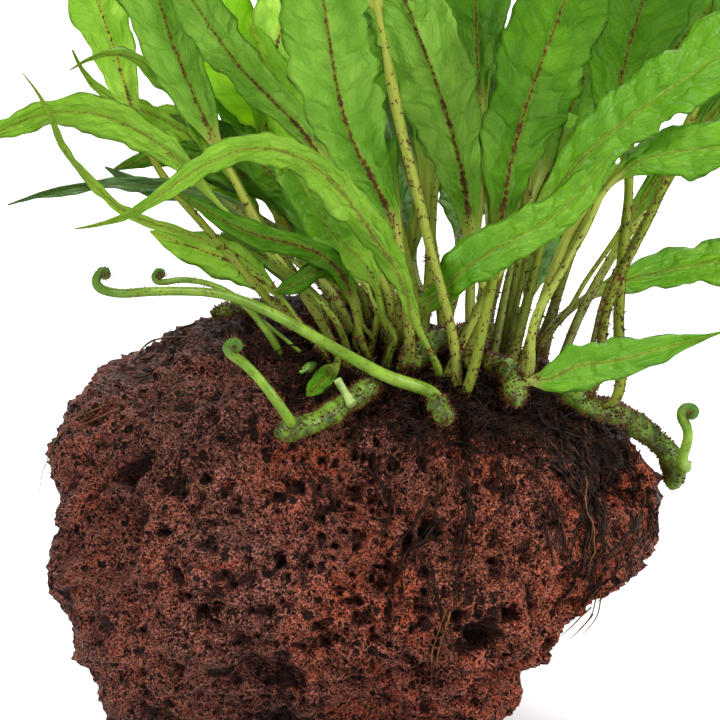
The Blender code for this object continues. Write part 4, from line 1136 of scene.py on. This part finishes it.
def strands(name, material, grid, routes, count, apart, thickness, arch, seed, shortest=0.45, over=1.0):
    """Bundles of roots: each follows its route's places across and up, shifted sideways by noise of its own.

    A strand takes part of the route, from the shortest share up, sways, lies on the rock or arches a little
    off it, and tapers to a point. Strands with less than the share called over above the rock are left out.
    """
    own = np.random.default_rng(seed)
    paths = []
    steps = 34
    for route in routes:
        line = smooth_path(np.array(route, float), LINE_STEPS)
        whole = path_places(line)[-1]
        share = own.uniform(shortest, 1.0, count)
        start = own.uniform(0, 1, count) ** 1.6 * (1 - share)
        at = (start[:, None] + share[:, None] * np.linspace(0, 1, steps)) * (LINE_STEPS - 1)
        points = between(line, at)
        side = np.gradient(points, axis=1)
        side = unit(np.stack([-side[..., 1], side[..., 0]], axis=-1))
        places = at / (LINE_STEPS - 1) * whole + 211.0 * np.arange(count)[:, None]
        sway = 0.8 * own.normal(0, 1, count)[:, None]
        for reach, size, further in SWAYS:
            sway = sway + reach * line_noise(places, size, seed + further)
        points = points + side * (sway * apart)[..., None]
        free = own.uniform(0, 1, count)[:, None] ** 2
        height = 0.1 + arch * np.abs(line_noise(places, 9.0, seed + 3)) * free
        kept = over_rock(grid, points) >= over
        paths.append(laid_on_rock(grid, points[kept], height[kept]))
    paths = np.concatenate(paths)
    thick = thickness[0] + (thickness[1] - thickness[0]) * own.uniform(0, 1, len(paths)) ** 2.5
    radii = thick[:, None] / 2 * (1 - 0.7 * np.linspace(0, 1, steps) ** 2) + 0.015
    points, faces = tubes(paths, radii, 5)
    return mesh_piece(name, points, faces, material)


def small_stalk(name, material, grid, places, lifts, radii):
    """A short stalk, stub or bud: circles along a line on the rock, at the given heights over it."""
    line = laid_on_rock(grid, np.array(places, float)[None], np.array(lifts)[None])[0]
    path = smooth_path(line, 18)
    fat = np.interp(np.linspace(0, 1, 18), np.linspace(0, 1, len(radii)), radii)
    points, faces = tubes(path[None], fat[None], 12)
    return mesh_piece(name, points, faces, material)


def own_turns(step, count, size, seed):
    """A slowly changing turn for each of many roots, at this step along them."""
    return line_noise(step + 57.3 * np.arange(count), size, seed)


def root_mat(name, material, grid, count, spread_of, lengths, thickness, arch, seed):
    """A felt of short roots: each starts near one of the spots across and up, and wanders on the rock.

    spread_of holds the spots with the spread to each side and up; the heading turns by noise along the way.
    """
    own = np.random.default_rng(seed)
    spots = np.array(spread_of, float)
    chosen = spots[own.integers(0, len(spots), count)]
    place = chosen[:, :2] + own.normal(0, 1, (count, 2)) * chosen[:, 2:]
    angle = own.uniform(0, 2 * math.pi, count)
    steps = 16
    stride = own.uniform(*lengths, count) / steps
    trail = []
    for i in range(steps):
        trail.append(place)
        angle = angle + 0.5 * own_turns(i, count, 4.0, seed)
        place = place + stride[:, None] * np.stack([np.cos(angle), 0.8 * np.sin(angle) - 0.25], axis=-1)
    places = np.stack(trail, axis=1)
    along = np.linspace(0, 1, steps)
    height = own.uniform(-0.2, arch, count)[:, None] * np.sin(math.pi * along) + 0.05
    radii = own.uniform(*thickness, count)[:, None] / 2 * (1 - 0.75 * along) + 0.015
    kept = over_rock(grid, places) == 1
    points, faces = tubes(laid_on_rock(grid, places[kept], height[kept]), radii[kept], 4)
    return mesh_piece(name, points, faces, material)


def back_roots(name, material, count, seed):
    """Roots on the rock's top and back: arcs over the rock that start near its top and wander down."""
    own = np.random.default_rng(seed)
    place = [own.normal(0.15, 0.5, count), own.normal(0.25, 0.35, count), own.uniform(0.8, 1.1, count)]
    place = unit(np.column_stack(place))
    heading = own.normal(0, 1, (count, 3))
    heading = unit(heading - place * (heading * place).sum(axis=-1, keepdims=True))
    steps, trail = 22, []
    stride = own.uniform(10, 26, count)[:, None] / steps / ROCK_RADIUS
    for i in range(steps):
        trail.append(place)
        turn = 0.6 * own_turns(i, count, 5.0, seed)[:, None]
        heading = unit(heading + np.cross(place, heading) * turn)
        place = unit(place + heading * stride)
        heading = unit(heading - place * (heading * place).sum(axis=-1, keepdims=True))
    trail = np.stack(trail, axis=1)
    paths = ROCK_CENTRE + trail * (rock_radius(trail) - 0.2)[..., None]
    radii = own.uniform(0.1, 0.2, count)[:, None] * (1 - 0.7 * np.linspace(0, 1, steps)) + 0.02
    points, faces = tubes(paths, radii, 4)
    return mesh_piece(name, points, faces, material)


# Building it all

skin = leaf_skin_group()
# Fresh, deep, rib and stalk colours; net, brown, roughness and sheen; glow and the share of light that passes
LEAF_KINDS = {
    "front": (
        (0.25, 0.46, 0.060), (0.100, 0.26, 0.010), (0.19, 0.25, 0.02), (0.320, 0.371, 0.063),
        0.7, 1.0, 0.45, 0.15, (2.1, 1.7, 1.2), 0.35,
    ),
    # Painted shade: a darker copy of the leaf and its stalk, for fronds in the clump's shade
    "deep": (
        (0.105, 0.275, 0.005), (0.040, 0.135, 0.002), (0.17, 0.22, 0.02), (0.218, 0.282, 0.032),
        0.7, 1.0, 0.42, 0.12, (2.1, 1.8, 1.2), 0.35,
    ),
    # Painted light: a paler, yellower copy of the leaf, for fronds lit from behind
    "pale": (
        (0.46, 0.68, 0.130), (0.24, 0.46, 0.035), (0.46, 0.52, 0.08), (0.230, 0.294, 0.036),
        1.0, 0.9, 0.45, 0.2, (1.9, 1.6, 1.0), 0.45,
    ),
    "backlit": (
        (0.37, 0.60, 0.060), (0.22, 0.46, 0.020), (0.58, 0.64, 0.08), (0.307, 0.365, 0.054),
        0.8, 0.5, 0.45, 0.2, (2.0, 1.7, 1.1), 0.55,
    ),
    "glossy": (
        (0.19, 0.41, 0.008), (0.095, 0.28, 0.004), (0.24, 0.38, 0.03), (0.320, 0.371, 0.063),
        0.7, 0.35, 0.33, 0.35, (1.9, 1.7, 1.0), 0.35,
    ),
    "arching": (
        (0.27, 0.47, 0.040), (0.14, 0.31, 0.010), (0.25, 0.34, 0.03), (0.22, 0.34, 0.035),
        0.6, 0.45, 0.45, 0.2, (2.0, 1.7, 1.2), 0.35,
    ),
    # Painted shade: a dark copy of the leaf and its stalk, for fronds deep in the clump, under a glossy surface
    "dark_gloss": (
        (0.07, 0.20, 0.010), (0.025, 0.09, 0.003), (0.10, 0.20, 0.02), (0.154, 0.218, 0.018),
        0.6, 0.3, 0.28, 0.6, (1.9, 1.8, 1.0), 0.3,
    ),
    "glinting": (
        (0.28, 0.42, 0.15), (0.12, 0.25, 0.06), (0.24, 0.34, 0.08), (0.46, 0.52, 0.12),
        0.8, 0.3, 0.25, 1.0, (1.9, 1.7, 1.0), 0.35,
    ),
}
leaves = {kind: leaf_material("leaf_" + kind, skin, *values) for kind, values in LEAF_KINDS.items()}
# Fronds that differ from the plain one: kind of leaf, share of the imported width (less where the blade is
# curled lengthwise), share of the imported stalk's thickness, how strongly the edges are lobed and waved, names
PLAIN_FROND = ("deep", 1.0, 0.92, 1.0)
FROND_LOOKS = [
    ("front", 1.0, 0.92, 1.0, "front_left front_middle front_stalk"), ("front", 1.0, 0.8, 1.0, "left"),
    ("front", 0.72, 0.8, 1.3, "left_slant"), ("glossy", 1.0, 0.92, 1.0, "leaning_right"),
    ("glossy", 1.0, 0.92, 1.3, "sweeping_right"), ("glossy", 1.0, 0.92, 1.4, "short low_right"),
    ("glossy", 1.0, 0.92, 1.5, "lowest_right"), ("glossy", 1.0, 0.92, 1.6, "level_right"),
    ("glossy", 1.0, 0.7, 1.0, "inner_left_4"), ("pale", 1.0, 0.92, 1.0, "left_pale"),
    ("pale", 0.85, 0.75, 1.0, "far_left"), ("pale", 1.0, 0.65, 1.4, "left_low"),
    ("backlit", 1.0, 0.92, 1.5, "left_bright"), ("backlit", 1.0, 0.7, 1.0, "inner_left_2"),
    ("arching", 0.8, 0.72, 1.7, "left_arch"), ("arching", 0.62, 0.85, 1.6, "near_arch"),
    ("arching", 0.5, 0.6, 2.2, "left_curl"), ("arching", 1.0, 0.65, 2.2, "left_thin_tip"),
    ("arching", 0.45, 0.5, 2.4, "left_whip"), ("arching", 1.0, 0.75, 1.5, "blunt"),
    ("dark_gloss", 0.6, 0.6, 1.9, "left_dark"), ("dark_gloss", 1.0, 0.6, 1.0, "left_small"),
    ("deep", 0.8, 0.7, 1.4, "speckled"), ("deep", 1.0, 0.6, 1.5, "small_dark"),
    ("deep", 1.0, 0.6, 1.0, "right_strip"), ("deep", 1.0, 0.7, 1.0, "inner_left_1 inner_left_3 right_narrow"),
]
LOOK_OF = {"frond_" + name: look for *look, names in FROND_LOOKS for name in names.split()}
STEM_REACH = 4.0  # a foot this near a creeping stem grows from it, and any other from the rock
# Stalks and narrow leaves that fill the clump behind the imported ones, as seen from the front:
# places across, up and behind the foot, half widths at them, and the kind of leaf
EXTRA = [
    ([(19, -3, 2), (16, 12, 6), (13.5, 32, 10), (13, 50, 14)], [1.1, 0.95, 0.9, 3.0], "deep"),
    ([(23, -4, 4), (22, 12, 8), (24, 32, 13), (25, 50, 18)], [1.1, 1.0, 0.9, 2.5], "front"),
    ([(26, -3, 6), (29, 12, 10), (34, 32, 16), (40, 50, 22)], [1.15, 1.0, 0.9, 4.0], "glossy"),
    ([(30, -2, 4), (34, 14, 8), (38, 30, 14), (43, 46, 20)], [1.15, 1.0, 0.9, 2.5], "deep"),
    ([(32, -3, 5), (36, 10, 8), (43, 28, 13), (50, 40, 18)], [1.1, 1.0, 0.9, 3.0], "front"),
    ([(14, 0, 4), (11, 14, 8), (8, 26, 12), (4, 44, 16)], [1.0, 0.9, 0.9, 3.5], "deep"),
    ([(7, 2, 3), (3, 12, 6), (-3, 24, 10), (-8, 40, 14)], [1.0, 0.9, 1.6, 3.5], "dark_gloss"),
    ([(4, 3, 4), (-3, 14, 7), (-10, 26, 11), (-18, 38, 14)], [1.0, 0.9, 1.8, 2.5], "deep"),
    ([(10, 1, 5), (9, 16, 8), (12, 30, 12), (18, 50, 18)], [1.0, 0.9, 2.0, 4.5], "deep"),
    ([(28, -3, 8), (31, 16, 12), (33, 34, 18), (32, 54, 24)], [1.1, 1.0, 1.6, 5.0], "deep"),
    ([(17, 0, 10), (15, 20, 14), (9, 44, 20), (2, 70, 28)], [1.1, 1.0, 3.0, 4.0], "glinting"),
    ([(22, 0, 12), (26, 20, 16), (26, 44, 22), (24, 70, 30)], [1.1, 1.0, 4.0, 4.5], "dark_gloss"),
    ([(36, -2, 8), (40, 16, 12), (44, 34, 18), (52, 54, 26)], [1.1, 1.0, 2.5, 5.0], "deep"),
    ([(2, 5, 8), (-8, 18, 12), (-18, 34, 18), (-26, 54, 24)], [1.0, 0.9, 3.0, 4.5], "deep"),
    ([(0, 5, 3), (-8, 12, 4), (-18, 20, 6), (-28, 25, 8)], [0.9, 0.8, 1.8, 0.8], "front"),
    ([(-1, 5, 6), (-12, 14, 7), (-22, 24, 9), (-30, 34, 10)], [0.9, 0.8, 2.2, 0.8], "dark_gloss"),
]


def rooted(form, stems, straight):
    """The form with one ring more at its foot, into the nearest creeping stem or the rock.

    straight is the share of the way that keeps the foot's own direction.
    """
    middle, across, upper, half = form
    foot = middle[0]
    onward = unit(middle[0] - middle[1])
    lines = np.concatenate([smooth_path(line, 60) for line, _ in stems])
    thick = np.concatenate([np.full(60, np.median(fat)) for _, fat in stems])
    distance = np.linalg.norm(lines - foot, axis=1)
    nearest = (distance - thick).argmin()
    if distance[nearest] - thick[nearest] < STEM_REACH:
        goal = lines[nearest]
    else:
        outward = unit(foot - ROCK_CENTRE)
        goal = ROCK_CENTRE + outward * (rock_radius(outward[None])[0] - 2.0)
    below = foot + (1 - straight) * (goal - foot) + straight * np.linalg.norm(goal - foot) * onward
    grown = [np.concatenate([part[:1], part]) for part in (across, upper, half)]
    return np.concatenate([below[None], middle]), *grown


def seen_form(grid, places, halves):
    """A frond's form from places seen from the front: its foot stands on the rock and it faces the viewer."""
    places = np.array(places, float)
    foot = laid_on_rock(grid, places[None, :1, :2], np.zeros((1, 1)))[0, 0]
    places[:, 2] += to_front(foot)[2]
    middle = smooth_path(from_front(places), 11)
    tangents = unit(np.gradient(middle, axis=0))
    across = unit(np.cross(tangents, -SIGHT))
    at = path_places(middle)
    half = np.interp(at, np.linspace(0, at[-1], len(halves)), halves)
    return middle, across, unit(np.cross(across, tangents)), half


def named(start):
    """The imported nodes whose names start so, in order."""
    return sorted(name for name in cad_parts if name.startswith(start))


# Share of the way into the stem that keeps the foot's own direction, and where it is less
STRAIGHT_FOOT = 0.6
BENT_FEET = {"frond_tall_right": 0.1, "frond_scaly_right": 0.3, "frond_lowest_right": 0.3}
fronds = {}
stems = [tube_form(name, 8) for name in named("rhizome_")]
for number, node_name in enumerate(named("frond_")):
    form = rooted(blade_form(node_name), stems, BENT_FEET.get(node_name, STRAIGHT_FOOT))
    kind, narrow, slim, waves = LOOK_OF.get(node_name, PLAIN_FROND)
    fronds[node_name] = frond(node_name, form, leaves[kind], SEED_STEP * number + 3, narrow, waves, slim)

rock_surface = lava_rock(rock_material())
rock_front = front_depths(rock_surface)
for number, (places, halves, kind) in enumerate(EXTRA):
    name = f"extra_{number + 1}"
    form = seen_form(rock_front, places, halves)
    fronds[name] = frond(name, form, leaves[kind], SEED_STEP * number + 1009)

stem_look = plain_material(
    "stem_green", (0.110, 0.200, 0.010), (0.032, 0.055, 0.004), 2.8, 0.45, 0.0009, sheen=0.3
)
young_look = plain_material(
    "young_green", (0.21, 0.34, 0.030), (0.11, 0.21, 0.010), 5.0, 0.4, 0.0001, 0.15, 0.3, (0.045, 0.13, 0.006)
)
bud_look = plain_material("bud_green", (0.12, 0.24, 0.02), (0.04, 0.10, 0.01), 1.4, 0.4, 0.0003)
stub_look = plain_material("stub_cream", (0.30, 0.38, 0.11), (0.14, 0.22, 0.04), 2.0, 0.5)
root_look = plain_material(
    "root_dark", (0.022, 0.008, 0.004), (0.005, 0.0025, 0.0016), 3.0, 0.42, 0.0001, sheen=0.08
)
rust_look = plain_material(
    "root_rust", (0.17, 0.065, 0.015), (0.05, 0.017, 0.006), 3.0, 0.4, 0.0001, sheen=0.2
)
scale_look = plain_material(
    "scale_brown", (0.14, 0.045, 0.012), (0.030, 0.010, 0.004), 1.5, 0.5, 0.0001, sheen=0.2
)
hair_look = plain_material("hair_pale", (0.30, 0.14, 0.05), (0.16, 0.05, 0.02), 2.0, 0.5, 0.0001, 0.3)

own_random = np.random.default_rng(29)
for piece_name, forms, density in (
    ("frond_scales", list(fronds.values()), 7.0), ("dense_scales", [fronds["frond_scaly_right"]], 34.0),
):
    points, faces = slivers(*frond_scales(forms, density, own_random))
    mesh_piece(piece_name, points, faces, scale_look, smooth=False)

# Hairs and scales on a tube: how many to a millimetre, how long and how wide
hairs, scales = [], []
for number, node_name in enumerate(named("rhizome_")):
    line, fat = rhizome(node_name, stem_look, 60 + number)
    hairs.append(tube_hairs(line, fat, 14, 2.2, 0.08, own_random))
    scales.append(tube_hairs(line, fat, 34, 0.9, 0.5, own_random))
for node_name in named("fiddlehead_"):
    line, fat = fiddlehead(node_name, young_look, stems)
    hairs.append(tube_hairs(line, fat, 3.4, 1.6, 0.2, own_random))
    coil = slice(int(COIL_START * len(line)), None)
    hairs.append(tube_hairs(line[coil], fat[coil], 16, 1.4, 0.2, own_random))
    scales.append(tube_hairs(line[coil], fat[coil], 9, 0.6, 0.22, own_random))
for piece_name, found, look, slot in (
    ("fine_hairs", hairs, hair_look, "stalk"), ("stem_scales", scales, scale_look, "rhizome"),
):
    points, faces = slivers(*(np.concatenate(part) for part in zip(*found)))
    mesh_piece(piece_name, points, faces, look, smooth=False)

# Routes of roots over the rock's front: places across and up
RIGHT_DRAPE = [
    [(35, -9), (42, -19), (48, -29), (49, -37), (46, -48), (42, -55)],
    [(40, -10), (45, -20), (48, -32), (47, -43), (44, -52)],
    [(46, -9), (49, -16), (54, -24), (56, -31), (55, -39), (50, -46), (46, -52)],
    [(50, -13), (55, -22), (58, -31), (55, -41), (48, -50)],
    [(57, -19), (60, -25), (61.5, -31), (59, -38)],
]
DRAPE_EDGE = [
    [(34, -24), (39, -32), (43, -42), (46, -48)], [(28, -12), (37, -16), (45, -26), (48, -36), (45, -50)],
]
FRONT_STRANDS = [
    [(18, -20), (20, -27), (20, -37), (20, -48), (19, -53)],
    [(17, -24), (13, -34), (8, -42), (6, -48), (6, -56)],
    [(13, -38), (16, -48), (20, -56), (21, -59)], [(33, -22), (37, -31), (40, -38), (45, -46)],
    [(27, -18), (29, -27), (25, -36), (22, -40)], [(2, -20), (5, -30), (3, -38)],
    [(-12, -20), (-8, -28), (-9, -33)],
]
RUST_STRANDS = [
    [(-48, -9), (-58, -14), (-62.6, -22), (-64, -29)], [(-46, 0), (-42, 4), (-34, 5)],
    [(18, -50), (15, -60), (15, -66)],
    [(47, -50), (43, -54), (41, -56)], [(48, -46), (47, -51), (44, -55)],
]
# Spots of root mats: places across and up, and how far the roots start to each side and up or down
MAT_SPOTS = [
    (25, -11, 8, 3.0), (36, -10, 6, 3), (14, -10, 7, 3.5), (47, -14, 4, 3), (-2, -3, 6, 4), (28, -14, 9, 3),
    (-10, -4, 7, 3), (50, -19, 3, 3), (5, 2, 8, 4), (30, -4, 9, 4), (20, -6, 10, 4), (10, -5, 9, 3),
]
CROWN_SPOTS = [
    (2, 2, 4, 2), (9, 0, 4, 2), (16, -2, 4, 2), (23, -4, 4, 2), (30, -5, 4, 2), (-5, 4, 4, 2), (13, 2, 5, 2),
]
# Look, routes, roots to a route, how far apart, thickness, arch, seed, shortest share and share over the rock
STRANDS = {
    "roots_drape": (root_look, RIGHT_DRAPE, 12, 1.7, (0.25, 1.1), 1.6, 5, 0.45, 1.0),
    "roots_strands": (root_look, FRONT_STRANDS, 5, 1.2, (0.16, 0.75), 1.0, 8, 0.3, 1.0),
    "roots_rust": (rust_look, RUST_STRANDS, 2, 0.4, (0.26, 0.42), 0.6, 12, 0.8, 0.0),
    "roots_drape_edge": (root_look, DRAPE_EDGE, 4, 0.7, (0.2, 0.5), 1.2, 6, 0.45, 1.0),
    "roots_drape_rust": (rust_look, RIGHT_DRAPE, 2, 1.4, (0.2, 0.4), 2.0, 21, 0.45, 1.0),
}
ROOT_NODES = {"roots_drape": "roots_right", "roots_strands": "roots_front", "roots_rust": "roots_left"}
for piece_name, (look, *values) in STRANDS.items():
    piece = strands(piece_name, look, rock_front, *values)
    if piece_name in ROOT_NODES:
        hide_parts(ROOT_NODES[piece_name])
# How many, the spots, how long and thick, how far off the rock, and the seed
root_mat("roots_mat", root_look, rock_front, 1600, MAT_SPOTS, (3, 10), (0.14, 0.46), 1.2, 15)
root_mat("roots_crown", root_look, rock_front, 600, CROWN_SPOTS, (4, 11), (0.16, 0.42), 4.0, 33)
back_roots("roots_back", root_look, 220, 19)
# Look, places across and up, heights over the rock and radii
SMALL_ONES = {
    "small_stalk": (young_look, [(-24, 10.8), (-18, 6.6), (-11.9, 1.6)], (3.4, 2.6, 1.2), (0.3, 0.42, 0.36)),
    "stub_cream": (stub_look, [(-4.6, -3.8), (-3.2, -6.2), (-1.6, -8.8)], (12, 11, 8.5), (0.8, 0.75, 1.1)),
    "bud_middle": (bud_look, [(-12, -2.6), (-10.4, -1.6), (-9, -0.8)], (0.6, 0.9, 0.6), (0.4, 1.1, 0.5)),
}
for piece_name, (look, *values) in SMALL_ONES.items():
    small_stalk(piece_name, look, rock_front, *values)

# The stage

SKY_LIGHT = 0.45
FLOOR = [(-3, -3, 0), (3, -3, 0), (3, 3, 0), (-3, 3, 0)]
# Name, place in metres, size and power
LAMPS = [
    ("key", (-0.7, -0.7, 1.2), 0.35, 20.0), ("fill", (1.0, -0.6, 0.75), 0.4, 17.0),
    ("back", (0.1, 1.0, 1.1), 0.9, 20.0),
]
LIT_POINT = VIEW_CENTRE * MM
EYE = (0.009, -0.77274, 0.28406)


def white_floor():
    """A wide matt white floor, which the camera sees and the part doesn't own."""
    mesh = bpy.data.meshes.new("floor")
    mesh.from_pydata(FLOOR, [], [(0, 1, 2, 3)])
    floor = bpy.data.objects.new("floor", mesh)
    bpy.context.collection.objects.link(floor)
    material, tree, output = new_material("floor_white")
    tree.links.new(surface_of(tree, colour(0.93, 0.93, 0.93), 0.9, 0.5), output.inputs[0])
    mesh.materials.append(material)


def white_sky():
    """A sky that looks white and gives less light than it shows."""
    world = bpy.data.worlds.new("sky")
    world.use_nodes = True
    tree = world.node_tree
    background = tree.nodes["Background"]
    background.inputs[0].default_value = colour(1, 1, 1)
    seen = node(tree, "ShaderNodeLightPath").outputs["Is Camera Ray"]
    strength = plus(tree, SKY_LIGHT, times(tree, seen, 1 - SKY_LIGHT))
    tree.links.new(strength, background.inputs[1])
    bpy.context.scene.world = world


def lamp(name, place, size, power):
    """A soft square lamp that shines at the part's middle."""
    light = bpy.data.lights.new(name, "AREA")
    light.energy = power
    light.size = size
    made = bpy.data.objects.new(name, light)
    made.location = place
    x, y, z = LIT_POINT - np.array(place)
    made.rotation_euler = (math.atan2(math.hypot(x, y), -z), 0.0, math.atan2(y, x) - math.pi / 2)
    bpy.context.collection.objects.link(made)


def camera_in_front():
    """The camera, where the photograph was taken from."""
    camera = bpy.data.cameras.new("camera")
    camera.lens = 200
    camera.sensor_width = 36
    eye = bpy.data.objects.new("camera", camera)
    eye.location = EYE
    eye.rotation_euler = (math.pi / 2 - VIEW_TILT, 0, 0)
    bpy.context.collection.objects.link(eye)
    bpy.context.scene.camera = eye
    bpy.context.scene.view_settings.view_transform = "Standard"


white_floor()
white_sky()
for values in LAMPS:
    lamp(*values)
camera_in_front()
